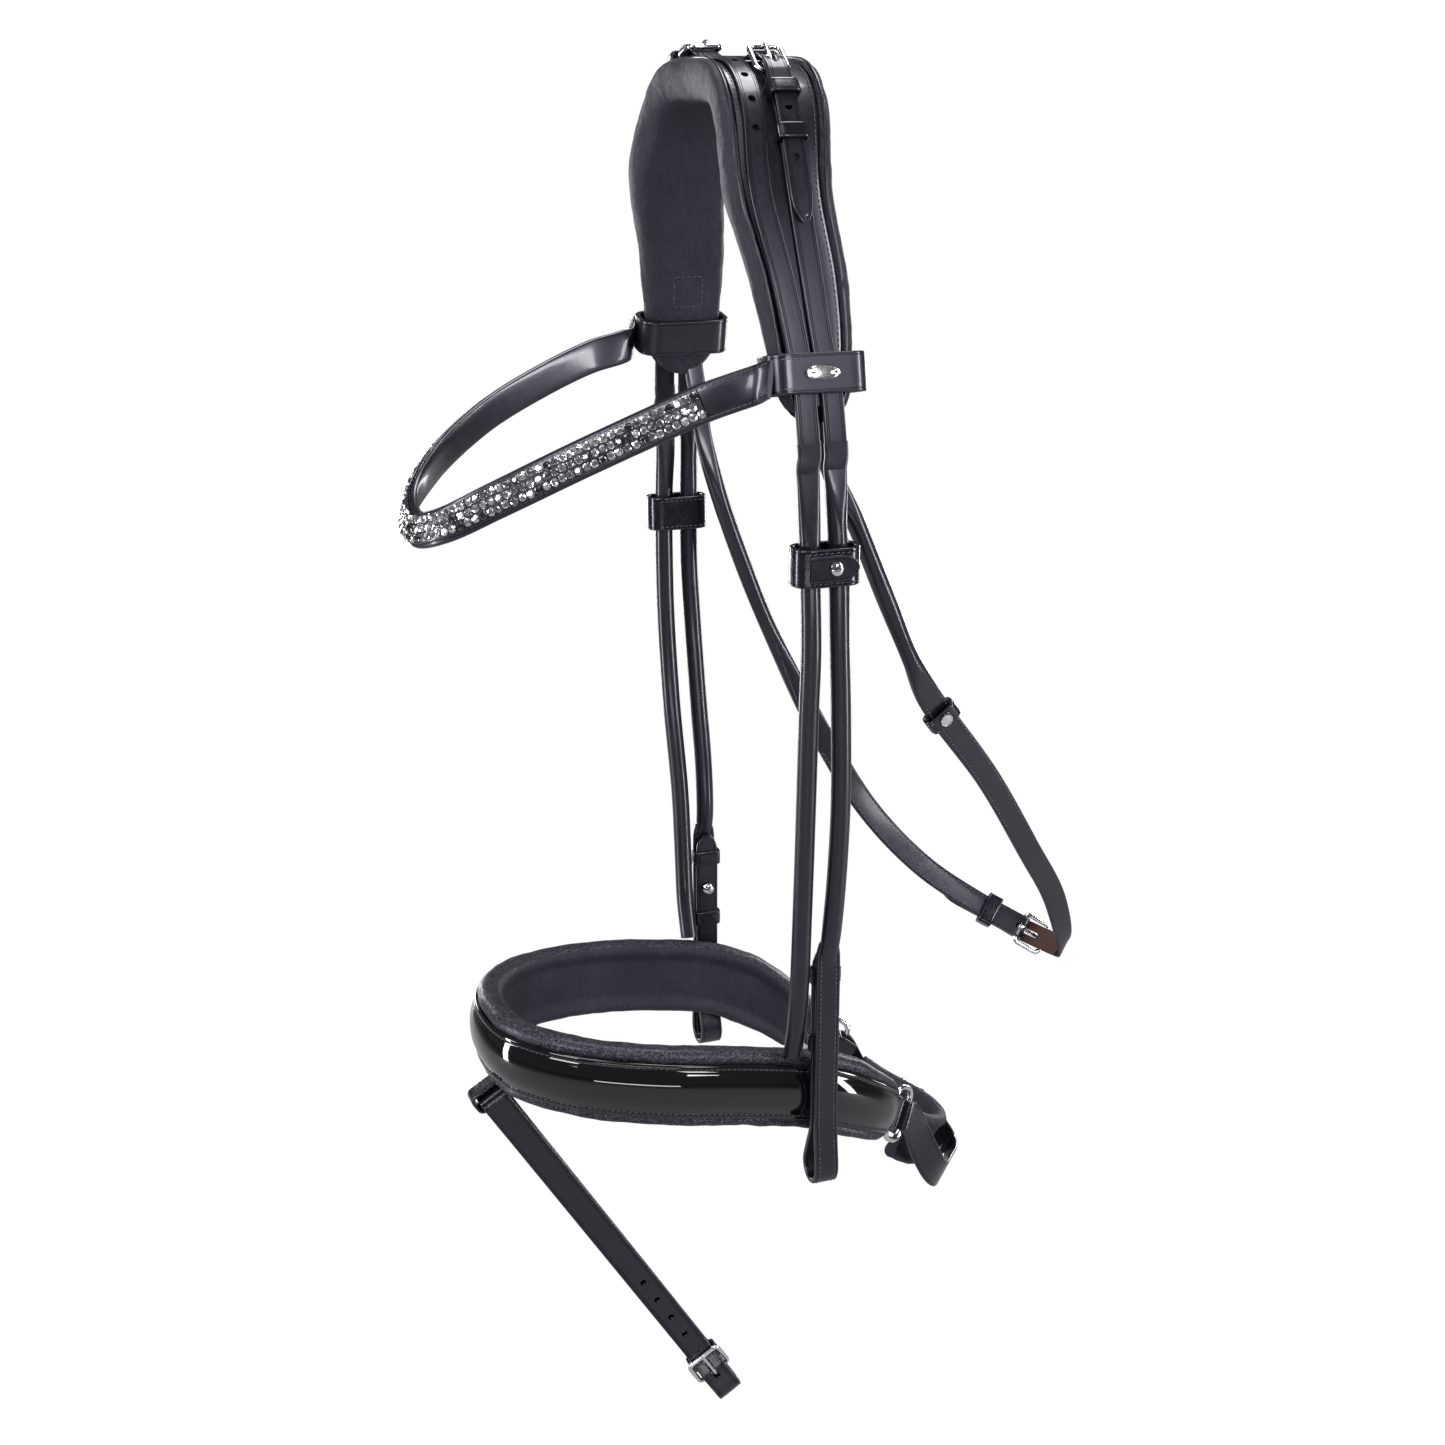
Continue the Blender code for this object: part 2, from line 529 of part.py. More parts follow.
def poll_buckle(label, y_table, heel_s, side, keepers, tip):
    """The two strap ends that meet on the crown, their buckle and keepers.

    The folded end comes from side, with its heel bar at heel_s; the punched end comes over the crown.
    """
    y = table_value(y_table, abs(heel_s))[0]
    tilt = arch_tilt(heel_s)
    out = Vector((sin(tilt), 0, cos(tilt)))
    away = Vector((cos(tilt), 0, -sin(tilt))) * -side
    frame = frame_from(arch(heel_s, 0, y), away, out)

    def place(u, v):
        if -3 <= u <= 16:
            return local(frame, u, v)
        s = heel_s - side * u
        return arch(s, v, table_value(y_table, abs(s))[0])

    fold = [(*place(u, v), STRAP_WIDTH, LEAF, 0.0) for u, v in CHAPE_LINE]
    lower = arch_rows(y_table, heel_s + side * 20, side * 187, STRAP_LIFT, thick=LEAF)
    folded = strap(f"{label}_strap_{NAMES[side]}", fold + lower + strap_end_rows(y_table, side), Y_AXIS,
                   longest=ARCH_STEP)
    over = [(*place(u, v), STRAP_WIDTH, LEAF, 0.0) for u, v in BILLET_LINE]
    near = arch_rows(y_table, -side * 187, heel_s - side * 30, STRAP_LIFT, thick=LEAF)
    end = [(*place(-d, 4.6 if d < 30 else 4.0), w, LEAF, 0.0)
           for d, w in ((24, STRAP_WIDTH), (tip - 14, STRAP_WIDTH), (tip - 6, STRAP_WIDTH * 0.8), (tip, 3.0))]
    rows = strap_end_rows(y_table, -side)[::-1] + near + over + end
    billet = strap(f"{label}_billet_{NAMES[-side]}", rows, Y_AXIS, longest=ARCH_STEP)
    tongue_slots(frame, folded, billet)
    for k in (1, 2, 3):
        s = heel_s - side * (10 + HOLE_PITCH * k)
        point = arch(s, 1.1, table_value(y_table, abs(s))[0])
        cut_hole(billet, point, (sin(arch_tilt(s)), 0, cos(arch_tilt(s))), HOLE_RADIUS, 6)
    buckle_frame(f"poll_buckle_{label}", frame, STRAP_WIDTH / 2)
    buckle_tongue(f"poll_tongue_{label}", frame)
    for k, (distance, top) in enumerate(keepers):
        s = heel_s + side * distance
        turned = arch_tilt(s)
        spot = frame_from(arch(s, 0, table_value(y_table, abs(s))[0]),
                          Vector((cos(turned), 0, -sin(turned))), Vector((sin(turned), 0, cos(turned))))
        staple_keeper(f"poll_keeper_{label}_{k + 1}", spot, -3.5, 3.5, STRAP_WIDTH / 2, GAP, top)


def make_headpiece():
    make_pad()
    make_bed()
    poll_buckle("noseband", NOSE_STRAP_Y, NOSE_HEEL_S, -1, NOSE_KEEPERS, NOSE_TIP)
    poll_buckle("cheek", CHEEK_STRAP_Y, CHEEK_HEEL_S, 1, CHEEK_KEEPERS, CHEEK_TIP)


# ---------------------------------------------------------------- browband

def make_browband():
    """The padded band, the row of crystals on its front, and a loop at each end."""
    band = BROWBAND_RIGHT[::-1] + BROWBAND_LEFT
    strap("browband_backing", sized(band, BROWBAND_WIDTH, BROWBAND_THICK, 1.2), BROWBAND_UP, "pad", 11)
    rows = []
    path = spline(sized(band[2:-1], CRYSTAL_WIDTH, CRYSTAL_THICK))
    out_by = BROWBAND_THICK / 2 + 2 * GAP + CRYSTAL_THICK / 2
    for (point, _, _, out), row in zip(frames(path, BROWBAND_UP), path):
        rows.append((*(point + out * out_by * OUTWARD), *row[3:]))
    crystals = thin_out(np.array(rows), 7)
    strap("browband_crystals", crystals, BROWBAND_UP, "crystal", smooth=False)
    for side in (1, -1):
        browband_loop(side)


def browband_loop(side):
    """The loop round the end of the pad; the left one carries a plain plate."""
    centre, width, depth, _ = table_value(PAD_TABLE, LOOP_S)
    tilt = arch_tilt(LOOP_S)
    out = Vector((sin(tilt) * side, 0, cos(tilt)))
    lift = (LOOP_RAISE - depth) / 2
    middle = arch(LOOP_S * side, lift, centre)
    loop_keeper(f"browband_loop_{NAMES[side]}", middle, Y_AXIS, out, width + LOOP_ROOM_Y, depth + LOOP_ROOM,
                LOOP_HEIGHT, LOOP_WALL)
    if side == 1:
        face = arch(LOOP_S, lift + (depth + LOOP_ROOM) / 2 + LOOP_WALL + 0.6 + GAP, centre)
        plate("browband_badge", [rounded(-8, 8, -3.2, 3.2, 1.5)], 1.2,
              frame_from(face, Y_AXIS, Vector((cos(tilt), 0, -sin(tilt)))), "steel")


# ---------------------------------------------------------------- noseband

def noseband_route():
    return sized(mirrored(NOSEBAND_HALF), LINING_HEIGHT, LINING_THICK)


def band_end(side):
    """The chape's place at one end of the band, and the ways forward, up and out of the band's own face."""
    route = spline(noseband_route())
    moved = np.array([point - out * CHAPE_INSET * OUTWARD for point, _, _, out in frames(route, Z_AXIS)])
    found = frames(moved, Z_AXIS)[-1]
    return [Vector((p.x * side, p.y, p.z)) for p in found]


def make_noseband():
    """The padded lining and the patent band outside it, with hangers, ends, rings and the flash loop."""
    route = thin_out(spline(noseband_route()), 13, 0.16)
    noseband_layer("noseband_lining", route, -LINING_THICK / 2, LINING_HEIGHT, LINING_THICK, 3.6, 9, "pad")
    noseband_layer("noseband_patent", route, PATENT_THICK / 2 + PATENT_GAP, PATENT_HEIGHT, PATENT_THICK, 1.2, 6,
                   "patent")
    for side in (1, -1):
        noseband_hanger(side)
        noseband_end(side)
    flash_loop()


def noseband_layer(name, route, distance, height, thick, corner, narrowing, kind):
    """One layer of the band, its middle a distance outside the route; it narrows over the last NARROWS."""
    rings = []
    for (point, _, side, out), end in zip(frames(route, Z_AXIS), end_distance(route)):
        less = narrowing * max(0, 1 - end / NARROWS)
        shape = outline(height - less, thick, corner)
        rings.append([point + side * a + out * (b + distance * OUTWARD) for a, b in shape])
    loft(name, rings, kind)


def end_distance(rows):
    along = np.concatenate(([0], np.cumsum(np.linalg.norm(np.diff(rows[:, :3], axis=0), axis=1))))
    return np.minimum(along, along[-1] - along)


def rolled_rows(points, side, start, end):
    """A strap that is flat above start and fully rolled below end."""
    rows = []
    for x, y, z in points:
        part = np.clip((start - z) / (start - end), 0, 1)
        part = part * part * (3 - 2 * part)
        forward = 0 if side == 1 else table_value(RIGHT_FORWARD, z)[0]
        rows.append((side * x, y - forward, z, STRAP_WIDTH + (ROLLED - STRAP_WIDTH) * part,
                     STRAP_THICK + 0.6 + (ROLLED - STRAP_THICK - 0.6) * part, 0.4 + (ROUND_CORNER - 0.4) * part))
    return rows


def noseband_hanger(side):
    rows = rolled_rows(NOSE_HANGER, side, -154, -188)
    strap(f"noseband_hanger_{NAMES[side]}", rows, Y_AXIS, "leather", 24)


def noseband_end(side):
    """The leather fold at each end of the noseband, and the ring it holds."""
    place, forward, up, out = band_end(side)
    bar = WIRE_RING / 2 + 0.25 + CHAPE_THICK / 2
    line = [(0.6, bar)] + [(RING_BAR + bar * sin(a), bar * cos(a)) for a in np.linspace(0, pi, 6)] + [(0.6, -bar)]
    rows = [(*(place + forward * u + out * v), CHAPE_WIDTH, CHAPE_THICK, 0.0) for u, v in line]
    strap(f"noseband_chape_{NAMES[side]}", rows, up)
    frame = frame_from(place + forward * RING_BAR, forward, up)
    points = [(u, v, 0) for u, v in rounded(0, RING_LENGTH, -RING_HEIGHT / 2, RING_HEIGHT / 2, 4.0, 3)]
    ring = wire_loop(f"noseband_ring_{NAMES[side]}", points, WIRE_RING, frame)
    set_origin(ring, frame.translation)


def flash_loop():
    """The leather loop under the front of the noseband that the flash strap runs through."""
    loop_keeper("flash_loop", FLASH_TOP, FLASH_ACROSS, FLASH_DOWN, FLASH_WIDTH + 2.4, 8.4, 10.0, 1.8)


# ---------------------------------------------------------------- cheekpieces

def make_cheekpiece(side):
    """The rolled cheekpiece, flat at its foot, where it is folded into the loop for the bit."""
    name = NAMES[side]
    rows = rolled_rows(CHEEK_ROLLED, side, -152.5, -168)
    flat = (BILLET_WIDTH, BILLET_LEAF, 0.6)
    for z, width in ((-392, 11.6), (-402, BILLET_WIDTH), (-440, BILLET_WIDTH), (-478, BILLET_WIDTH)):
        rows.append((side * BILLET_OUT_X, BILLET_Y, z, width, *flat[1:]))
    rows.append((side * 88.6, BILLET_Y, -492, *flat))
    for angle in np.radians((0, -45, -78, -102, -135, -180)):
        x = LOOP_TURN_X + LOOP_TURN_RADIUS * cos(angle)
        rows.append((side * x, BILLET_Y, LOOP_TURN_Z + LOOP_TURN_RADIUS * sin(angle), *flat))
    rows += [(side * 78.2, BILLET_Y, -495.5, *flat), (side * 82.4, BILLET_Y, -484, *flat)]
    for z, width in ((-470, BILLET_WIDTH), (-440, BILLET_WIDTH), (-402, BILLET_WIDTH), (-393, 10.5), (-389, 5.0)):
        rows.append((side * BILLET_IN_X, BILLET_Y, z, width, *flat[1:]))
    cheek = strap(f"cheekpiece_{name}", rows, Y_AXIS, "leather", 24)
    cut_hole(cheek, (side * BILLET_IN_X, BILLET_Y, STUD_Z), X_AXIS, 2.2, 3.4)
    hook_stud(side, STUD_Z)
    for k, z in enumerate(BILLET_KEEPER_Z):
        inside = BILLET_OUT_X - BILLET_LEAF / 2 - GAP
        frame = frame_from((side * inside, BILLET_Y, z), Z_AXIS, (-side, 0, 0))
        deep = inside - BILLET_IN_X + BILLET_LEAF / 2 + GAP
        staple_keeper(f"billet_keeper_{name}_{k + 1}", frame, -4.0, 4.0, BILLET_WIDTH / 2 - 0.1, 0.0, deep, 1.2)


def turned(name, profile, axis_point, axis, kind, steps=10):
    """A turned piece from radius and height pairs; the profile starts and ends on the axis."""
    bm = bmesh.new()
    verts = [bm.verts.new((r * MM, 0, h * MM)) for r, h in profile]
    edges = [bm.edges.new(pair) for pair in zip(verts, verts[1:])]
    bmesh.ops.spin(bm, geom=verts + edges, axis=(0, 0, 1), cent=(0, 0, 0), angle=2 * pi, steps=steps)
    bmesh.ops.remove_doubles(bm, verts=bm.verts, dist=1e-6)
    bmesh.ops.recalc_face_normals(bm, faces=bm.faces)
    mesh = bpy.data.meshes.new(name)
    bm.to_mesh(mesh)
    bm.free()
    turn = Vector(axis).to_track_quat("Z", "Y").to_matrix().to_4x4()
    mesh.transform(Matrix.Translation(Vector(axis_point) * MM) @ turn)
    mesh.materials.append(material(name, kind))
    obj = bpy.data.objects.new(name, mesh)
    PARTS.objects.link(obj)
    return obj


def hook_stud(side, z):
    """A round-headed stud: its base lies between the leaves and its head outside the inner one."""
    leaf_in = BILLET_IN_X - BILLET_LEAF / 2
    base = BILLET_IN_X + BILLET_LEAF / 2 + 0.3
    shank, head = base - leaf_in, base - leaf_in + 0.5
    profile = [(0, -1.0), (3.6, -1.0), (3.6, 0), (1.7, 0), (1.7, head), (3.4, head + 0.4), (3.4, head + 1.4),
               (1.8, head + 2.4), (0, head + 2.6)]
    turned(f"hook_stud_{NAMES[side]}", profile, (side * base, BILLET_Y, z), (-side, 0, 0), "steel")


def make_cheek_keeper(side):
    """The stitched keeper that holds the cheekpiece and the noseband strap side by side, and its stud."""
    name = NAMES[side]
    centre = CHEEK_KEEPER_LEFT if side == 1 else CHEEK_KEEPER_RIGHT
    out = Vector((side, 0, -0.02))
    keeper = loop_keeper(f"cheek_keeper_{name}", centre, Y_AXIS, out, CHEEK_KEEPER_WIDTH, CHEEK_KEEPER_DEPTH,
                         CHEEK_KEEPER_HEIGHT, CHEEK_KEEPER_WALL, radius=5.0)
    set_origin(keeper, centre)
    face = centre + out * (CHEEK_KEEPER_DEPTH / 2 + CHEEK_KEEPER_WALL + GAP) + Y_AXIS * 2.0
    profile = [(0, 0), (3.2, 0), (3.2, 0.6), (2.4, 1.7), (0, 2.2)]
    stud = turned(f"cheek_keeper_stud_{name}", profile, face, out, "steel")
    set_origin(stud, centre)


# ---------------------------------------------------------------- throatlatch

def throat_root(points):
    """The round top end about the pivot, and the rolled strap below it."""
    rows = []
    y, z = THROAT_PIVOT
    x = points[0][0]
    for d, width in ((-4.6, 3.0), (-3.4, 6.4), (-1.4, 8.8), (1.0, 9.2)):
        rows.append((x, y, z - d, width, 3.0, 0.4, *Y_AXIS))
    for k, place in enumerate(points[1:]):
        if k == 0:
            rows.append((*place, THROAT_ROLLED, 3.0, 0.4, *Y_AXIS))
        else:
            rows.append((*place, THROAT_ROLLED, THROAT_ROLLED, THROAT_ROLLED * ROUND_SHARE, *THROAT_ACROSS))
    return rows


def make_throatlatch():
    """Two straps, rolled at the top and flat below, that meet at the buckle."""
    frame = frame_from(THROAT_BUCKLE, THROAT_U, THROAT_V)
    flat = (THROAT_WIDTH, LEAF, 0.3, *(frame.to_3x3() @ Z_AXIS))
    rows = throat_root(THROAT_RIGHT)
    rows += [(*p, THROAT_WIDTH, THROAT_THICK, 0.3, *THROAT_ACROSS) for p in THROAT_RIGHT_FLAT]
    rows += [(*local(frame, u, 1.1), *flat) for u in (-24, -12)]
    rows += [(*local(frame, u, v), *flat) for u, v in CHAPE_LINE[-2::-1]]
    right = strap("throatlatch_right", rows, None, "leather", 24)
    rows = throat_root(THROAT_LEFT)
    rows += [(*p, THROAT_WIDTH, THROAT_THICK, 0.3, *THROAT_ACROSS) for p in THROAT_LEFT_FLAT]
    rows += [(*local(frame, 24.5, -7.0), *flat), (*local(frame, 21.5, -0.6), *flat)]
    rows += [(*local(frame, u, v), *flat) for u, v in BILLET_LINE[1:]]
    rows += [(*local(frame, -26, 3.9), *flat), (*local(frame, -42, 4.4), *flat)]
    rows += [(*local(frame, -49, 4.6), 4.0, *flat[1:])]
    left = strap("throatlatch_left", rows, None, "leather", 24)
    tongue_slots(frame, right, left)
    buckle_frame("throatlatch_buckle", frame, THROAT_WIDTH / 2)
    buckle_tongue("throatlatch_tongue", frame)
    across, up = frame.to_3x3() @ Z_AXIS, frame.to_3x3() @ Y_AXIS
    loop_keeper("throatlatch_keeper", local(frame, -19.5, 2.9), across, up, 14.6, 8.0, 8.0, 1.6, radius=1.2)


def make_throat_runner():
    """The loose keeper on the left strap, with its small plate."""
    path = thin_out(spline(sized(THROAT_LEFT[-1:] + THROAT_LEFT_FLAT, THROAT_WIDTH, THROAT_THICK)), 5)
    place, forward, side, out = frames(path, THROAT_ACROSS)[RUNNER_STATION]
    runner = loop_keeper("throatlatch_runner", place, side, out, 14.0, RUNNER_DEPTH, 9.0, RUNNER_WALL,
                         radius=1.5)
    set_origin(runner, place)
    face = place - out * (RUNNER_DEPTH / 2 + RUNNER_WALL + GAP + PLATE_THICK / 2)
    shape = circle(0, 0, PLATE_RADIUS, 12)
    badge = plate("throatlatch_badge", [shape], PLATE_THICK, frame_from(face, side, forward), "steel")
    set_origin(badge, place)


# ---------------------------------------------------------------- flash strap

def make_flash():
    """The buckled strap through the loop: up inside, over the top, down outside and through its buckle."""
    foot = FLASH_TOP + FLASH_DOWN * FLASH_DROP
    frame = frame_from(foot, -FLASH_DOWN, X_AXIS)
    flat = (FLASH_WIDTH, LEAF, 0.0)
    reach = FLASH_DROP

    def at(u, v):
        return (*local(frame, u, v), *flat)

    inner = [at(u, v) for u, v in CHAPE_LINE[:-1]]
    inner += [at(-11, 1.1), at(-14.2, 0.6), at(-15.2, -0.7), at(-14.2, -2.0), at(-11, -2.5), at(0, -2.5),
              at(30, -2.4)]
    inner += [at(reach * k, -2.6 - 2 * k) for k in (0.35, 0.6, 0.8)]
    top = [at(reach - 13, -5.6), at(reach - 4, -6.9), at(reach + 0.3, -5.6), at(reach + 1.4, -2.5)]
    top += [at(reach + 1.4, 2.5), at(reach + 0.3, 5.6), at(reach - 4, 6.9), at(reach - 13, 6.4)]
    outer = [at(reach * k, 1.6 + 5.5 * (k - 0.2)) for k in (0.8, 0.6, 0.4)] + [at(40, 1.7)]
    outer += [at(u, v) for u, v in BILLET_LINE[:-1]]
    outer += [at(-14.5, 5.2), at(-17.6, 3.2), at(-18.6, -0.6), at(-17.4, -3.6), at(-13, -4.7), at(0, -4.9),
              at(14, -4.9)]
    tip = [(*local(frame, 18, -4.9), FLASH_WIDTH * 0.77, LEAF, 0.0),
           (*local(frame, 21, -4.9), FLASH_WIDTH * 0.27, LEAF, 0.0)]
    strap_made = strap("flash_strap", inner + top + outer + tip, FLASH_ACROSS, "leather", 24)
    half = SLOT_WIDTH / 2
    cut_box(strap_made, frame, (-3.2, 0.0, -half), (4.5, 6.8, half))
    cut_box(strap_made, frame, (0.9, 2.6, -half), (10.8, 9.5, half))
    for u in (32, 47, 62):
        cut_hole(strap_made, local(frame, u, 1.6), X_AXIS, HOLE_RADIUS, 7)
    buckle_frame("flash_buckle", frame, FLASH_WIDTH / 2)
    buckle_tongue("flash_tongue", frame)
    centre, across = local(frame, 7.5, -3.7), frame.to_3x3() @ Z_AXIS
    loop_keeper("flash_keeper", centre, across, X_AXIS, FLASH_WIDTH + 1.8, 4.9, 8.0, 1.2, radius=1.2)


# ---------------------------------------------------------------- chin strap

def ring_fold(side, tail):
    """Points round the rear bar of a ring, from a tail on its inner side to its outer side."""
    place, forward, up, out = band_end(side)
    out *= OUTWARD
    bar = place + forward * (RING_BAR + RING_LENGTH)
    radius = WIRE_RING / 2 + 1.4 + LEAF / 2
    points = [bar + forward * tail - out * radius, bar + forward * 3 - out * radius]
    for angle in np.linspace(-pi / 2, -3 * pi / 2, 6):
        points.append(bar + (forward * cos(angle) + out * sin(angle)) * radius)
    return [(*p, CHIN_WIDTH, LEAF, 0.0, *up) for p in points]


def make_chin():
    """A pad behind the chin, and the buckled strap that runs over it between the two rings."""
    rows = sized(mirrored(CHIN_PAD_HALF), CHIN_PAD_WIDTH, CHIN_PAD_THICK, 2.6)
    strap("chin_pad", rows, CHIN_UP, "pad", 10)
    frame = frame_from(CHIN_BUCKLE, CHIN_U, CHIN_V)
    across = frame.to_3x3() @ Z_AXIS
    flat = (CHIN_WIDTH, LEAF, 0.0, *across)
    chape = [(*local(frame, u, v), *flat) for u, v in CHAPE_LINE]
    chape += [(-45, 87, -531, CHIN_WIDTH, LEAF, 0.0, *CHIN_UP)] + ring_fold(-1, 9)[::-1]
    chape = strap("chin_chape", chape, None)
    band = ring_fold(1, 9) + [(*p, CHIN_WIDTH, LEAF, 0.0, *CHIN_UP) for p in CHIN_LEFT]
    band += [(*local(frame, u, v), *flat) for u, v in BILLET_LINE]
    band += [(*local(frame, -18, 5.4), 10, LEAF, 0.0, *across), (*local(frame, -21, 5.3), 4, LEAF, 0.0, *across)]
    band = strap("chin_strap", band, None)
    tongue_slots(frame, chape, band)
    buckle_frame("chin_buckle", frame, CHIN_WIDTH / 2)
    buckle_tongue("chin_tongue", frame)


clear_scene()
PARTS = collection("snaffle_bridle")
CUTTERS = collection("cutters")
make_headpiece()
make_browband()
make_noseband()
for hand in (1, -1):
    make_cheekpiece(hand)
    make_cheek_keeper(hand)
make_throatlatch()
make_throat_runner()
make_flash()
make_chin()
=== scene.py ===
"""The looks of a snaffle bridle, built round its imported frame: leather, padding, patent, steel and crystals.

Lengths are in millimetres until a mesh is made. +Z is up, -Y the horse's nose, +X its left side.
"""
from math import atan2, ceil, cos, pi, radians, sin, sqrt
from random import Random

import bmesh
import bpy
import numpy as np
from mathutils import Matrix, Vector, noise


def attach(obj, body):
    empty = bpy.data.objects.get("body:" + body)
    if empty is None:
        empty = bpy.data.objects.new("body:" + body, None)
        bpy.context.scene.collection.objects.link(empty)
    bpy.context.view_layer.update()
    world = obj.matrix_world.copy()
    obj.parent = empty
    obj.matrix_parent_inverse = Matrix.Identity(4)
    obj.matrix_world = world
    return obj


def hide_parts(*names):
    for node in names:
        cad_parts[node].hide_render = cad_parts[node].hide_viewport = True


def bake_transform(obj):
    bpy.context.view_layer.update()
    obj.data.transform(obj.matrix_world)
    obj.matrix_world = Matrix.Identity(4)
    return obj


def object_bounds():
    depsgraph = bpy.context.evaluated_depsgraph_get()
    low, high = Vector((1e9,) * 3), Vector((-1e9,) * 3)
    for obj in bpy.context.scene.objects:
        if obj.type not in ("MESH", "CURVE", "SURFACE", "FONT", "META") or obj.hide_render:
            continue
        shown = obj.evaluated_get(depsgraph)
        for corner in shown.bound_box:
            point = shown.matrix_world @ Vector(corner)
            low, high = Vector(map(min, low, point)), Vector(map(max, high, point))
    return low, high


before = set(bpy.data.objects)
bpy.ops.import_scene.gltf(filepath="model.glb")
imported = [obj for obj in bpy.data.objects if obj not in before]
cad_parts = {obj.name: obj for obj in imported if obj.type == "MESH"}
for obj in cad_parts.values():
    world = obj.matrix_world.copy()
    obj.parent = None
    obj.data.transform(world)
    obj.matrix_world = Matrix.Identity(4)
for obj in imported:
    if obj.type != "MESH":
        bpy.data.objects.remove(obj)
cad_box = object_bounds()

MM = 0.001
X_AXIS, Y_AXIS, Z_AXIS = Vector((1, 0, 0)), Vector((0, 1, 0)), Vector((0, 0, 1))
NAMES = {1: "left", -1: "right"}

# ---------------------------------------------------------------- the frame's driving sizes

ARCH_TOP, ARCH_DROP, ARCH_HALF, ARCH_POWER = 18.0, 160.0, 96.0, 3.7
PAD_END = 199.0
BED_THICK = 3.0
ROLL_WIDTH = 6.7
PAD_TABLE = [(0, -3.5, 52.5, 18, 1.6), (60, -7.5, 52, 17.5, 1.6), (97, -11, 49, 17, 1.4),
             (140, -5, 44, 14, 0.2),
             (165, -3.0, 40.5, 12.5, -0.4), (180, -2.5, 37, 11.5, -0.4), (190, -1.8, 33, 10.5, -0.4),
             (200, -1.5, 26, 9, -0.4)]
NOSE_STRAP_Y = [(0, -16.5), (60, -19), (97, -22), (140, -15), (165, -11.2), (192, -8.5), (205, -7.8)]
CHEEK_STRAP_Y = [(0, -4.0), (60, -4.3), (97, -4.5), (140, -1.8), (165, 0.6), (192, 4.2), (205, 5.0)]
STRAP_WIDTH, LEAF, STRAP_LIFT = 10.5, 1.6, 1.5
ROLLED = 9.4
WIRE, HEEL_V, END_V, BUCKLE_LENGTH = 2.6, 3.4, 5.6, 15.0
FOLD_RADIUS = WIRE / 2 + 0.2 + LEAF / 2
TONGUE_THICK, SLOT_WIDTH = 1.5, 3.2
CHAPE_SLOT_U, BILLET_SLOT_U, BILLET_SLOT_V = (-3.2, 4.5), (-1.7, 10.8), (2.6, 9.5)
CHAPE_LINE = [(-10.5, 3.4), (-7, 3.7), (-3.8, 4.8), (0, HEEL_V + FOLD_RADIUS), (1.63, 5.03),
              (FOLD_RADIUS, HEEL_V),
              (1.63, 1.77), (0, HEEL_V - FOLD_RADIUS), (-5, 1.1), (-12, 1.1)]
BILLET_LINE = [(22, 1.5), (15, 2.75), (8.5, 5.05), (2, 7.45), (-3.5, 7.1), (-9, 5.7), (-14, 5.4)]
KEEPER_Z = -196.0
NOSE_HANGER = [(97.4, -8.6, -152), (97.4, -7.9, -172), (96.6, -6.6, -196), (95.4, -5.0, -235),
               (92.8, -4.6, -265), (89.6, -4.0, -311), (86.6, -3.8, -363), (84.4, -3.8, -400),
               (81.5, -3.8, -425),
               (76.0, -3.4, -445.5)]
CHEEK_ROLLED = [(97.4, 4.4, -152), (97.4, 5.4, -172), (96.6, 7.2, -196), (95.4, 9.0, -235),
                (94.0, 10.8, -265),
                (92.2, 12.4, -311), (90.0, 12.0, -350), (88.4, 10.6, -378)]
RIGHT_FORWARD = [(-378, 0.0), (-350, 1.6), (-311, 4.2), (-265, 5.2), (-235, 4.6), (-196, 2.4), (-172, 0.0)]
BILLET_Y, BILLET_WIDTH, BILLET_LEAF = 9.4, 12.2, 2.6
BILLET_OUT_X, BILLET_IN_X = 87.4, 82.6
NOSEBAND_HALF = [(0, -139.5, -449), (30, -133.5, -449.5), (55, -110, -451.5), (70.5, -70, -456),
                 (74.8, -20, -463.5),
                 (73.8, 15, -472.5), (67, 43, -487.5), (55, 62, -501)]
LINING_HEIGHT, LINING_THICK = 40.5, 12.0
PATENT_HEIGHT, PATENT_THICK, PATENT_GAP = 28.0, 4.0, 1.1
NARROWS = 45.0
BROWBAND_LEFT = [(0, -162, -187), (20, -154, -182), (38, -133, -168.5), (55, -101, -150.5), (69, -70, -134.5),
                 (78.5, -50.5, -124.5), (88, -30.6, -116.5)]
BROWBAND_RIGHT = [(-22, -159, -180), (-41, -142, -164), (-59, -113, -146), (-74, -79, -132),
                  (-83, -52, -123), (-88, -30.6, -118)]
BROWBAND_UP = (0, 0.25, 1)
LOOP_S, LOOP_HEIGHT, LOOP_WALL = 178.0, 17.5, 2.4
LOOP_ROOM_Y, LOOP_ROOM, LOOP_RAISE = 4.8, 6.4, 3.2
WIRE_RING, RING_BAR, RING_LENGTH, RING_HEIGHT = 3.0, 4.2, 15.0, 28.0
THROAT_PIVOT = (6.0, -147.0)
THROAT_ACROSS = (0, 0.87, 0.49)
THROAT_LEFT = [(83, 6, -148), (81.5, 11, -161), (80.5, 22, -181), (79.5, 39, -219), (76.5, 55.5, -253)]
THROAT_LEFT_FLAT = [(71.5, 67, -272), (56, 109, -323), (41, 142, -370), (24, 170, -410)]
THROAT_RIGHT = [(-82, 6, -148), (-80, 7, -165), (-78, 13.5, -192), (-78, 29, -236), (-77, 46, -277)]
THROAT_RIGHT_FLAT = [(-65, 75, -340), (-52, 96, -377), (-35, 121, -406)]
THROAT_BUCKLE = Vector((-4.5, 166.5, -436.0))
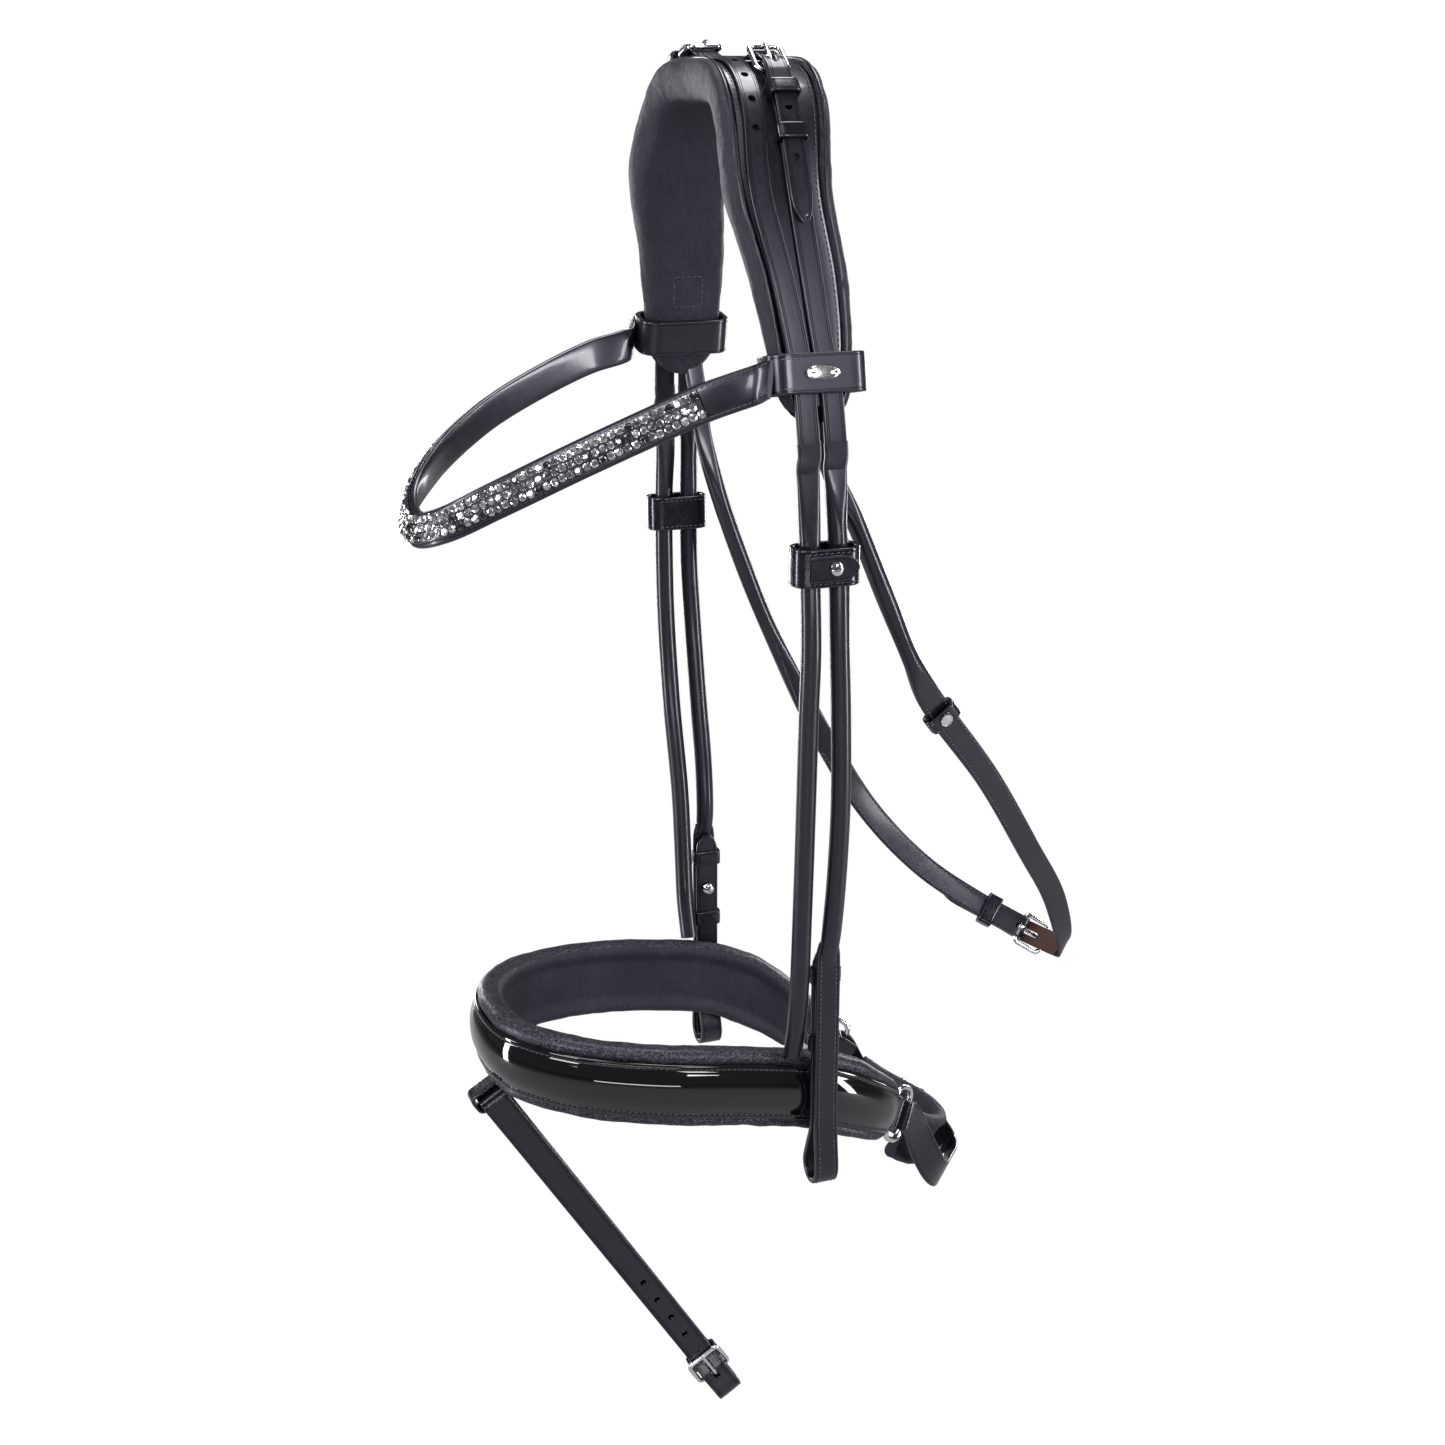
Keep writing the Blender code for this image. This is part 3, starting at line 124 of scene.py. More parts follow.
THROAT_U, THROAT_V = Vector((0.5, 0.75, -0.43)), Vector((-0.828, 0.274, -0.485))
RUNNER_ROW, RAW_REACH = 7, 21
FLASH_DOWN, FLASH_ACROSS = Vector((0, 0.53, -0.848)), Vector((0, 0.848, 0.53))
FLASH_TOP = Vector((0, -138.2, -479.6))
FLASH_DROP, FLASH_WIDTH = 227.0, 14.5
CHIN_UP = (0, 0.5, 0.87)
CHIN_LEFT = [(44.5, 85, -531), (42, 94, -548), (37.5, 100, -554), (28, 107.5, -556.5), (15, 117, -559),
             (0, 122, -560)]
CHIN_WIDTH = 16.0
CHIN_BUCKLE = Vector((-31.5, 102.5, -541.0))
CHIN_U, CHIN_V = Vector((0.83, 0.5, -0.22)), Vector((-0.545, 0.72, -0.415))
CHIN_PAD_HALF = [(0, 108, -545), (17, 103, -543), (28, 90, -536), (33.5, 78, -527)]

# ---------------------------------------------------------------- materials


class Shader:
    """A Principled material and the nodes that feed it; textures are in the object's own millimetres."""

    def __init__(self, name, base, roughness, metallic=0.0, **values):
        self.made = bpy.data.materials.new(name)
        self.made.use_nodes = True
        self.tree = self.made.node_tree
        self.shader = self.tree.nodes["Principled BSDF"]
        self.set(self.shader, **{"Base Color": (*base, 1), "Roughness": roughness, "Metallic": metallic,
                                 **values})
        place = self.node("ShaderNodeTexCoord").outputs["Object"]
        scaled = self.node("ShaderNodeMapping", Scale=(1000, 1000, 1000))
        self.link(place, scaled.inputs["Vector"])
        self.place = scaled.outputs["Vector"]
        self.height = None

    def set(self, node, **values):
        for name, value in values.items():
            node.inputs[name].default_value = value

    def node(self, kind, **values):
        made = self.tree.nodes.new(kind)
        self.set(made, **values)
        return made

    def link(self, source, target):
        self.tree.links.new(source, target)

    def noise(self, scale, detail=3.0, rough=0.5, stretch=None):
        texture = self.node("ShaderNodeTexNoise", Scale=scale, Detail=detail, Roughness=rough)
        self.link(self.stretched(stretch), texture.inputs["Vector"])
        return texture.outputs["Fac"]

    def cells(self, scale, feature="F1", output="Distance"):
        texture = self.node("ShaderNodeTexVoronoi")
        texture.feature = feature
        texture.inputs["Scale"].default_value = scale
        self.link(self.place, texture.inputs["Vector"])
        return texture.outputs[output]

    def stretched(self, stretch):
        if stretch is None:
            return self.place
        mapping = self.node("ShaderNodeMapping", Scale=stretch)
        self.link(self.place, mapping.inputs["Vector"])
        return mapping.outputs["Vector"]

    def spread(self, value, low, high, to_low, to_high):
        """The value between low and high, carried to another pair of limits."""
        ranged = self.node("ShaderNodeMapRange")
        for i, number in ((1, low), (2, high), (3, to_low), (4, to_high)):
            ranged.inputs[i].default_value = number
        self.link(value, ranged.inputs[0])
        return ranged.outputs[0]

    def math(self, operation, a, b):
        made = self.node("ShaderNodeMath")
        made.operation = operation
        for i, value in enumerate((a, b)):
            if isinstance(value, (int, float)):
                made.inputs[i].default_value = value
            else:
                self.link(value, made.inputs[i])
        return made.outputs[0]

    def blend(self, factor, dark, light):
        mix = self.node("ShaderNodeMix")
        mix.data_type = "RGBA"
        self.link(factor, mix.inputs["Factor"])
        for socket in mix.inputs:
            if socket.name == "A" and socket.type == "RGBA":
                socket.default_value = (*dark, 1)
            if socket.name == "B" and socket.type == "RGBA":
                socket.default_value = (*light, 1)
        return [socket for socket in mix.outputs if socket.type == "RGBA"][0]

    def colour(self, output):
        self.link(output, self.shader.inputs["Base Color"])

    def rough(self, output):
        self.link(output, self.shader.inputs["Roughness"])

    def bump(self, output, depth, strength=1.0):
        """Adds relief, depth millimetres high, on top of what there is."""
        made = self.node("ShaderNodeBump", Strength=strength, Distance=depth * MM)
        self.link(output, made.inputs["Height"])
        if self.height is not None:
            self.link(self.height, made.inputs["Normal"])
        self.height = made.outputs["Normal"]
        self.link(self.height, self.shader.inputs["Normal"])


VIOLET = (0.82, 0.79, 1.0, 1.0)


def bridle_leather(name="bridle_leather", base=(0.0042, 0.0038, 0.0066), shine=0.34):
    """Smooth black bridle leather: a satin finish with fine pores, scuffs, and edges painted paler, partly as
    wear and partly as a painted highlight.
    """
    look = Shader(name, base, shine, **{"Specular Tint": VIOLET, "Specular IOR Level": 0.5,
                                        "Coat Weight": 0.5, "Coat Roughness": 0.13})
    mottle = look.noise(0.09, 4.0, 0.6)
    # Sharp edges are painted paler: partly wear, partly a painted highlight along the strap edges.
    edge_wear_and_highlight = look.spread(look.node("ShaderNodeNewGeometry").outputs["Pointiness"], 0.52, 0.62, 0.0, 1.0)
    tone = look.math("ADD", look.spread(mottle, 0.3, 0.7, 0.0, 0.35), look.math("MULTIPLY", edge_wear_and_highlight, 0.3))
    look.colour(look.blend(tone, base, tuple(2.2 * c + 0.002 for c in base)))
    look.rough(look.spread(look.noise(0.35, 5.0, 0.65), 0.25, 0.75, shine - 0.07, shine + 0.1))
    look.bump(look.cells(1.9), 0.006, 0.25)
    look.bump(look.noise(0.16, 2.0, 0.5), 0.05, 0.3)
    return look.made


def soft_leather(name="soft_leather", base=(0.0062, 0.0057, 0.0090)):
    """Matte glove leather over foam: a pebbled grain with fine creases."""
    look = Shader(name, base, 0.56, **{"Specular Tint": VIOLET, "Specular IOR Level": 0.5,
                                       "Sheen Weight": 0.03,
                                       "Sheen Roughness": 0.5, "Sheen Tint": VIOLET})
    grain = look.cells(1.05, "DISTANCE_TO_EDGE")
    look.colour(look.blend(look.spread(look.noise(0.06, 4.0), 0.3, 0.7, 0.0, 1.0), base,
                           tuple(1.9 * c for c in base)))
    look.rough(look.spread(look.noise(0.5, 4.0), 0.3, 0.7, 0.5, 0.64))
    look.bump(look.spread(grain, 0.0, 0.16, 0.0, 1.0), 0.1, 0.6)
    look.bump(look.noise(0.24, 6.0, 0.62, (1.0, 2.2, 1.0)), 1.1, 0.9)
    return look.made


def speckled_leather():
    """The sparkling roll along the noseband's edges: charcoal with fine bright grains."""
    look = Shader("speckled_leather", (0.012, 0.012, 0.015), 0.42, **{"Specular Tint": VIOLET})
    grains = look.node("ShaderNodeTexVoronoi", Scale=2.6)
    look.link(look.place, grains.inputs["Vector"])
    shine = look.node("ShaderNodeSeparateColor")
    look.link(grains.outputs["Color"], shine.inputs[0])
    bright = look.spread(shine.outputs[0], 0.72, 0.98, 0.0, 1.0)
    look.colour(look.blend(bright, (0.005, 0.005, 0.007), (0.13, 0.12, 0.15)))
    look.rough(look.spread(shine.outputs[1], 0.0, 1.0, 0.22, 0.6))
    look.bump(shine.outputs[2], 0.05, 0.6)
    look.bump(look.noise(0.3, 3.0), 0.12, 0.4)
    return look.made


def patent_leather():
    """Lacquered leather: a mirror skin over a surface that is not quite even."""
    look = Shader("patent_leather", (0.0035, 0.0035, 0.0045), 0.05,
                  **{"Specular IOR Level": 0.3, "Coat Weight": 1.0,
                                                                     "Coat Roughness": 0.02, "Coat IOR": 1.5})
    look.rough(look.spread(look.noise(0.2, 5.0, 0.7), 0.3, 0.8, 0.035, 0.09))
    look.bump(look.noise(0.035, 2.0, 0.4), 0.5, 0.35)
    look.bump(look.noise(0.16, 3.0, 0.5), 0.06, 0.3)
    return look.made


def polished_steel():
    """Bright plating with faint swirls and hairline scratches."""
    look = Shader("polished_steel", (0.78, 0.78, 0.80), 0.1, 1.0)
    look.colour(look.blend(look.noise(0.25, 3.0), (0.70, 0.70, 0.73), (0.86, 0.86, 0.88)))
    look.rough(look.spread(look.noise(0.8, 6.0, 0.75, (1, 7, 1)), 0.3, 0.8, 0.07, 0.2))
    look.bump(look.noise(2.2, 3.0, 0.6, (1, 9, 1)), 0.006, 0.5)
    return look.made


def thread():
    """Waxed black thread with a fine twist, its colour painted paler than the leather, and paler still along
    the twist, as a painted highlight.
    """
    look = Shader("waxed_thread", (0.030, 0.028, 0.034), 0.45, **{"Specular Tint": VIOLET})
    twist_and_glints = look.node("ShaderNodeTexWave", Scale=2.4, Distortion=1.5)
    look.link(look.place, twist_and_glints.inputs["Vector"])
    # Painted highlight: the pale colour and its brighter bands along the twist stand in for glints on black
    # thread.
    look.colour(look.blend(twist_and_glints.outputs["Fac"], (0.040, 0.038, 0.046), (0.115, 0.108, 0.126)))
    look.bump(twist_and_glints.outputs["Fac"], 0.06, 0.6)
    return look.made


def flesh_side():
    """The reddish-brown underside of a strap, fibrous and matt."""
    look = Shader("strap_flesh_side", (0.10, 0.03, 0.018), 0.75)
    look.colour(look.blend(look.noise(0.35, 6.0, 0.7, (1, 1, 3)), (0.012, 0.006, 0.006),
                           (0.07, 0.021, 0.014)))
    look.bump(look.noise(1.2, 6.0, 0.7, (1, 1, 3)), 0.10, 0.7)
    return look.made


def crystal(name, base, metallic, roughness):
    """A foiled crystal: its facets send the light back, with cloudy depths between."""
    look = Shader(name, base, roughness, metallic, **{"Coat Weight": 1.0, "Coat Roughness": 0.02})
    look.colour(look.blend(look.spread(look.noise(0.9, 2.0), 0.35, 0.65, 0, 1),
                           tuple(0.45 * c for c in base), base))
    return look.made


LEATHER = bridle_leather()
GLOSSY = bridle_leather("glazed_leather", (0.0036, 0.0033, 0.0058), 0.24)
SOFT = soft_leather()
SPECKLED = speckled_leather()
PATENT = patent_leather()
STEEL = polished_steel()
THREAD = thread()
FLESH = flesh_side()
CRYSTALS = [crystal("clear_crystal", (0.93, 0.93, 0.95), 0.9, 0.09),
            crystal("smoke_crystal", (0.40, 0.40, 0.43), 0.85, 0.08),
            crystal("jet_crystal", (0.03, 0.03, 0.035), 0.4, 0.04)]

# ---------------------------------------------------------------- curves and lofts


def spline(rows, step=0.6):
    """Points every step along a smooth curve through the rows; columns after the third come along."""
    rows = np.array(rows, float)
    gaps = np.linalg.norm(np.diff(rows[:, :3], axis=0), axis=1)
    at = np.concatenate(([0], np.cumsum(np.sqrt(gaps))))
    slope = np.gradient(rows, at, axis=0, edge_order=1)
    out = []
    for i, gap in enumerate(gaps):
        span = at[i + 1] - at[i]
        count = max(2, ceil(gap / step))
        for t in np.arange(count) / count:
            a, b = 2 * t ** 3 - 3 * t ** 2 + 1, t ** 3 - 2 * t ** 2 + t
            c, d = -2 * t ** 3 + 3 * t ** 2, t ** 3 - t ** 2
            out.append(a * rows[i] + b * span * slope[i] + c * rows[i + 1] + d * span * slope[i + 1])
    out.append(rows[-1])
    return np.array(out)


def thin_out(rows, longest, turn=0.1):
    """Keeps the rows that the surface needs: closer together where the curve turns."""
    ways = np.diff(rows[:, :3], axis=0)
    ways /= np.linalg.norm(ways, axis=1)[:, None]
    kept = [0]
    for i in range(1, len(rows) - 1):
        far = np.linalg.norm(rows[i, :3] - rows[kept[-1], :3])
        bend = np.arccos(np.clip(ways[i] @ ways[kept[-1]], -1, 1))
        if far > longest or (bend > turn and far > 0.4):
            kept.append(i)
    return rows[kept + [len(rows) - 1]]


def table_value(table, at):
    """Values between the rows of a table, on a smooth curve, with the first column as the position."""
    table = np.array(table, float)
    slope = np.gradient(table, table[:, 0], axis=0)
    i = int(np.clip(np.searchsorted(table[:, 0], at) - 1, 0, len(table) - 2))
    span = table[i + 1, 0] - table[i, 0]
    t = np.clip((at - table[i, 0]) / span, 0, 1)
    a, b = 2 * t ** 3 - 3 * t ** 2 + 1, t ** 3 - 2 * t ** 2 + t
    c, d = -2 * t ** 3 + 3 * t ** 2, t ** 3 - t ** 2
    found = a * table[i] + b * span * slope[i] + c * table[i + 1] + d * span * slope[i + 1]
    return found[1:]


def arch_table():
    """Distance along the headpiece's arch, x and z, from the crown."""
    x = np.concatenate((np.linspace(0, 60, 200, endpoint=False), np.linspace(60, 98.5, 600)))
    z = ARCH_TOP - ARCH_DROP * (x / ARCH_HALF) ** ARCH_POWER
    along = np.concatenate(([0], np.cumsum(np.hypot(np.diff(x), np.diff(z)))))
    return along, x, z


ARCH = arch_table()


def arch_tilt(s):
    along, xs, _ = ARCH
    x = np.interp(abs(s), along, xs)
    slope = ARCH_DROP * ARCH_POWER / ARCH_HALF * (x / ARCH_HALF) ** (ARCH_POWER - 1)
    return atan2(slope, 1) * np.sign(s)


def arch(s, lift=0.0, y=0.0):
    """The point at distance s from the crown (positive to the left), lifted off the bed."""
    along, xs, zs = ARCH
    x = np.interp(abs(s), along, xs)
    z = np.interp(abs(s), along, zs)
    tilt = arch_tilt(s)
    return Vector((x * np.sign(s) + sin(tilt) * lift, y, z + cos(tilt) * lift))


def arch_frame(s, lift=0.0, y=0.0):
    """A frame on the arch: x along it to the left, y outwards."""
    tilt = arch_tilt(s)
    return frame_from(arch(s, lift, y), Vector((cos(tilt), 0, -sin(tilt))), Vector((sin(tilt), 0, cos(tilt))))


def frames(rows, across, closed=False):
    """For each row its point, way forward, way across and way out; across may be three more columns."""
    found = []
    count = len(rows)
    for i, row in enumerate(rows):
        if closed:
            ahead, behind = rows[(i + 1) % count], rows[i - 1]
        else:
            ahead, behind = rows[min(i + 1, count - 1)], rows[max(i - 1, 0)]
        forward = Vector(ahead[:3] - behind[:3]).normalized()
        side = Vector(row[6:9]) if across is None else Vector(across)
        side = (side - forward * side.dot(forward)).normalized()
        found.append((Vector(row[:3]), forward, side, side.cross(forward)))
    return found


def frame_from(origin, u, v):
    """A frame whose x and y axes are u and v, as a matrix."""
    u, v = Vector(u).normalized(), Vector(v)
    v = (v - u * v.dot(u)).normalized()
    made = Matrix((u, v, u.cross(v))).transposed().to_4x4()
    made.translation = Vector(origin)
    return made


def local(place, u, v, w=0.0):
    return tuple(place @ Vector((u, v, w)))


def rounded(u0, u1, v0, v1, radius, steps=5):
    """A rectangle with round corners, closely enough spaced to be swept along."""
    points = []
    corners = [(u1 - radius, v0 + radius, -90), (u1 - radius, v1 - radius, 0),
               (u0 + radius, v1 - radius, 90), (u0 + radius, v0 + radius, 180)]
    for u, v, start in corners:
        for k in range(steps + 1):
            angle = radians(start + 90 * k / steps)
            points.append((u + radius * cos(angle), v + radius * sin(angle)))
    return points


def closed_curve(points, parts):
    """A smooth closed curve through flat points, with each stretch cut into parts."""
    points = np.array(points, float)
    out = []
    for i in range(len(points)):
        a, b, c, d = points[i - 1], points[i], points[(i + 1) % len(points)], points[(i + 2) % len(points)]
        for t in np.arange(parts) / parts:
            out.append(0.5 * (2 * b + (c - a) * t + (2 * a - 5 * b + 4 * c - d) * t ** 2
                              + (3 * b - 3 * c + d - a) * t ** 3))
    return [tuple(p) for p in out]


def piece(name, points, faces, material, body, replaces=(), slot="leather", angle=0.7):
    """A mesh object from points in millimetres, riding on a body of the frame."""
    mesh = bpy.data.meshes.new(name)
    mesh.from_pydata([tuple(Vector(p) * MM) for p in points], [], faces)
    return finish_mesh(name, mesh, [material], body, replaces, angle)


def finish_mesh(name, mesh, materials, body, replaces=(), angle=0.7):
    work = bmesh.new()
    work.from_mesh(mesh)
    bmesh.ops.recalc_face_normals(work, faces=work.faces)
    work.to_mesh(mesh)
    work.free()
    for material in materials:
        mesh.materials.append(material)
    mesh.shade_smooth()
    mesh.set_sharp_from_angle(angle=angle)
    obj = bpy.data.objects.new(name, mesh)
    bpy.context.scene.collection.objects.link(obj)
    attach(obj, body)
    if replaces:
        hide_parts(*([replaces] if isinstance(replaces, str) else replaces))
    return obj


def loft(name, rings, material, body, closed=False, **more):
    """A skin through rings of points, closed by caps or on itself."""
    count = len(rings[0])
    points = [p for ring in rings for p in ring]
    faces = [] if closed else [tuple(range(count)), tuple(range(len(points) - count, len(points)))]
    for i in range(len(rings) if closed else len(rings) - 1):
        j = (i + 1) % len(rings)
        for k in range(count):
            m = (k + 1) % count
            faces.append((i * count + k, i * count + m, j * count + m, j * count + k))
    return piece(name, points, faces, material, body, **more)


def sweep(name, rows, across, section, material, body, longest=3.0, smooth=True, closed=False, **more):
    """A section carried along rows of x, y, z, width, thickness and shape."""
    if smooth:
        rows = thin_out(spline(rows), longest)
    rows = np.array(rows, float)
    rings = []
    for (point, _, side, out), row in zip(frames(rows, across, closed), rows):
        rings.append([point + side * a + out * b for a, b in section(*row[3:6])])
    return loft(name, rings, material, body, closed, **more)


# ---------------------------------------------------------------- sections

CREASE_DEPTH, CREASE_WIDTH = 0.26, 0.5


def creased(width, thick, inset, lines=1):
    """A flat strap's section: round edges, and creases pressed in beside both of them."""
    half, t = width / 2, thick / 2
    edge = min(t * 0.9, 0.7, half * 0.4)
    top = [(half, 0.0), (half - edge * 0.12, t - edge * 0.5), (half - edge * 0.5, t - edge * 0.12),
           (half - edge, t)]
    for k in range(lines):
        at = half - min(inset + k * 0.95, half * (0.55 + 0.25 * k))
        depth = min(CREASE_DEPTH, t * 0.4)
        slit = min(CREASE_WIDTH, half * 0.16) / 2
        top += [(at + slit, t), (at + slit * 0.3, t - depth), (at - slit * 0.3, t - depth), (at - slit, t)]
    right = top + [(half * 0.1, t * 1.03)]
    upper = right + [(-a, b) for a, b in right[::-1]]
    return upper + [(a, -b) for a, b in upper[::-1][1:-1]]


def one_crease(width, thick, _):
    return creased(width, thick, 1.5)


def two_creases(width, thick, _):
    return creased(width, thick, 1.2, 2)


def plain_flat(width, thick, _):
    half, t = width / 2, thick / 2
    edge = min(t * 0.9, 0.6)
    top = [(half, 0.0), (half - edge * 0.3, t - edge * 0.3), (half - edge, t), (half * 0.3, t * 1.02)]
    upper = top + [(-a, b) for a, b in top[::-1]]
    return upper + [(a, -b) for a, b in upper[::-1][1:-1]]


ROUND_POINTS = 28


def soft_oval(width, thick, power):
    """An oval from round (power 2) to nearly square (power 8)."""
    shape = []
    for k in range(ROUND_POINTS):
        angle = 2 * pi * k / ROUND_POINTS
        c, s = cos(angle), sin(angle)
        shape.append((width / 2 * abs(c) ** (2 / power) * np.sign(c),
                      thick / 2 * abs(s) ** (2 / power) * np.sign(s)))
    return shape


def round_wire(width, thick, _):
    return [(width / 2 * cos(2 * pi * k / 14), thick / 2 * sin(2 * pi * k / 14)) for k in range(14)]


# ---------------------------------------------------------------- cutting, stitching and swelling


def punch(obj, tools):
    """Cuts closed tools out of a piece and leaves its mesh changed."""
    materials = list(obj.data.materials)
    for tool in tools:
        modifier = obj.modifiers.new("cut", "BOOLEAN")
        modifier.object = tool
        modifier.solver = "EXACT"
    ready = obj.evaluated_get(bpy.context.evaluated_depsgraph_get())
    mesh = bpy.data.meshes.new_from_object(ready)
    obj.modifiers.clear()
    old = obj.data
    obj.data = mesh
    bpy.data.meshes.remove(old)
    mesh.materials.clear()
    for material in materials:
        mesh.materials.append(material)
    for tool in tools:
        bpy.data.objects.remove(tool, do_unlink=True)


def tool_cylinder(point, axis, radius, depth=8.0):
    bm = bmesh.new()
    bmesh.ops.create_cone(bm, cap_ends=True, segments=20, radius1=radius * MM, radius2=radius * MM,
                          depth=depth * MM)
    turn = Vector(axis).to_track_quat("Z", "Y").to_matrix().to_4x4()
    bm.transform(Matrix.Translation(Vector(point) * MM) @ turn)
    return tool_object(bm)


def tool_slot(place, low, high, radius=1.2):
    """A slot tool in a buckle's frame, with round ends along u."""
    bm = bmesh.new()
    shape = rounded(low[0], high[0], low[2], high[2], min(radius, (high[2] - low[2]) / 2.1), 4)
    rings = []
    for v in (low[1], high[1]):
        rings.append([bm.verts.new(tuple(Vector(local(place, u, v, w)) * MM)) for u, w in shape])
    bm.faces.new(rings[0])
    bm.faces.new(rings[1][::-1])
    for k in range(len(shape)):
        m = (k + 1) % len(shape)
        bm.faces.new((rings[0][m], rings[0][k], rings[1][k], rings[1][m]))
    bmesh.ops.recalc_face_normals(bm, faces=bm.faces)
    return tool_object(bm)


def tool_object(bm):
    mesh = bpy.data.meshes.new("tool")
    bm.to_mesh(mesh)
    bm.free()
    tool = bpy.data.objects.new("tool", mesh)
    bpy.context.scene.collection.objects.link(tool)
    return tool


STITCH_PITCH, STITCH_LENGTH, STITCH_WIDTH = 2.6, 2.0, 0.5


def stitches(name, lines, body, pitch=STITCH_PITCH, slant=0.16):
    """Rows of raised stitches; each line is a list of (point, out) pairs that the thread follows."""
    points, faces = [], []
    for line in lines:
        places = np.array([p for p, _ in line], float)
        outs = np.array([o for _, o in line], float)
        along = np.concatenate(([0], np.cumsum(np.linalg.norm(np.diff(places, axis=0), axis=1))))
        count = max(1, int(along[-1] // pitch))
        for k in range(count):
            at = (k + 0.5) * along[-1] / count
            ends = [Vector([np.interp(at + d, along, places[:, i]) for i in range(3)]) for d in (-0.6, 0.6)]
            out = Vector([np.interp(at, along, outs[:, i]) for i in range(3)]).normalized()
            way = (ends[1] - ends[0]).normalized()
            side = out.cross(way)
            add_stitch(points, faces, (ends[0] + ends[1]) / 2, (way + side * slant).normalized(), out)
    return piece(name, points, faces, THREAD, body, angle=3.0)


def add_stitch(points, faces, middle, way, out):
    """One stitch: a short bead that dives into the leather at both ends."""
    side = out.cross(way)
    start = len(points)
    for t, size in ((-1.0, 0.35), (-0.6, 0.9), (0.0, 1.0), (0.6, 0.9), (1.0, 0.35)):
        centre = middle + way * (t * STITCH_LENGTH / 2) + out * (0.12 * (1 - t * t) - 0.05)
        for k in range(6):
            angle = k * pi / 3
            points.append(centre + (side * cos(angle) + out * sin(angle) * 0.75) * (STITCH_WIDTH / 2 * size))
    for i in range(4):
        for k in range(6):
            m = (k + 1) % 6
            faces.append((start + i * 6 + k, start + i * 6 + m, start + i * 6 + 6 + m, start + i * 6 + 6 + k))
    faces.append(tuple(start + k for k in range(5, -1, -1)))
    faces.append(tuple(start + 24 + k for k in range(6)))


def seam(rows, across, a, b, start=0.0, end=0.0, step=2.0):
    """A stitch line along a strap: a across and b out of its middle, from start to end before its far end."""
    path = thin_out(spline(rows), step)
    along = np.concatenate(([0], np.cumsum(np.linalg.norm(np.diff(path[:, :3], axis=0), axis=1))))
    line = []
    for (point, _, side, out), at in zip(frames(path, across), along):
        if start <= at <= along[-1] - end:
            line.append((point + side * a + out * b, out * np.sign(b)))
    return line


def rumple(obj, depth, size, stretch=(1, 1, 1), only=None):
    """Moves the surface in and out a little, as soft leather lies over foam."""
    mesh = obj.data
    moved = []
    for vertex in mesh.vertices:
        place = Vector([c / MM / size * s for c, s in zip(vertex.co, stretch)])
        amount = noise.noise(place) + 0.5 * noise.noise(place * 2.3)
        weight = 1.0 if only is None else only(vertex.co / MM)
        moved.append(vertex.co + vertex.normal * (amount * depth * weight * MM))
    for vertex, place in zip(mesh.vertices, moved):
        vertex.co = place


def turned(name, profile, point, axis, material, body, replaces, steps=40):
    """A turned piece from radius and height pairs; the profile starts and ends on the axis."""
    bm = bmesh.new()
    verts = [bm.verts.new((r * MM, 0, h * MM)) for r, h in profile]
    edges = [bm.edges.new(pair) for pair in zip(verts, verts[1:])]
    bmesh.ops.spin(bm, geom=verts + edges, axis=(0, 0, 1), cent=(0, 0, 0), angle=2 * pi, steps=steps)
    bmesh.ops.remove_doubles(bm, verts=bm.verts, dist=1e-6)
    turn = Vector(axis).to_track_quat("Z", "Y").to_matrix().to_4x4()
    bm.transform(Matrix.Translation(Vector(point) * MM) @ turn)
    mesh = bpy.data.meshes.new(name)
    bm.to_mesh(mesh)
    bm.free()
    return finish_mesh(name, mesh, [material], body, replaces, 0.6)


# ---------------------------------------------------------------- buckles and keepers


def buckle_wire(name, place, half_width, body, node):
    """The cast frame: round corners, its end bar raised over the heel bar."""
    side = half_width + 0.85 + WIRE / 2
    slope = atan2(END_V - HEEL_V, BUCKLE_LENGTH)
    rows = []
    for u, w in rounded(0, BUCKLE_LENGTH, -side, side, 2.4, 6):
        rows.append((*local(place, u * cos(slope), HEEL_V + u * sin(slope), w), WIRE * 0.94, WIRE, 0))
    up = place.to_3x3() @ Vector((0, 1, 0))
    return sweep(name, rows, up, round_wire, STEEL, body, smooth=False, closed=True, replaces=node,
                 slot="steel")


def tongue(name, place, body, node):
    """The tongue: an eye bent round the heel bar, and a tapered prong that rests on the end bar."""
    rest_v = END_V + WIRE / 2 + 0.15 + TONGUE_THICK / 2
    slope = atan2(rest_v - HEEL_V, BUCKLE_LENGTH)
    eye = WIRE / 2 + 0.12 + TONGUE_THICK / 2
    turn = [(eye * cos(a), eye * sin(a), 2.4, 1.3) for a in np.linspace(radians(-50), radians(-270), 12)]
    prong = [(2.2, eye * 0.8, 2.3, 1.4), (5.0, eye * 0.32, 2.2, 1.5), (9.0, 0.05, 2.1, 1.5),
             (14.0, 0.0, 1.9, 1.4),
             (16.2, -0.08, 1.6, 1.2), (17.0, -0.2, 1.0, 0.8)]
    rows = []
    for u, v, width, thick in turn + prong:
        spot = local(place, u * cos(slope) - v * sin(slope), HEEL_V + u * sin(slope) + v * cos(slope))
        rows.append((*spot, width, thick, 3.0))
    across = place.to_3x3() @ Z_AXIS
    return sweep(name, rows, across, soft_oval, STEEL, body, longest=1.0, replaces=node, slot="steel")


def billet_slot(place):
    """The hole in the strap end, long enough for the tongue to lift."""
    (u0, u1), (v0, v1), half = BILLET_SLOT_U, BILLET_SLOT_V, SLOT_WIDTH / 2
    return tool_slot(place, (u0, v0, -half), (u1, v1, half))


def tongue_slots(place, chape, billet):
    half = SLOT_WIDTH / 2
    punch(chape, [tool_slot(place, (CHAPE_SLOT_U[0], -0.5, -half), (CHAPE_SLOT_U[1], 7.0, half))])
    punch(billet, [billet_slot(place)])


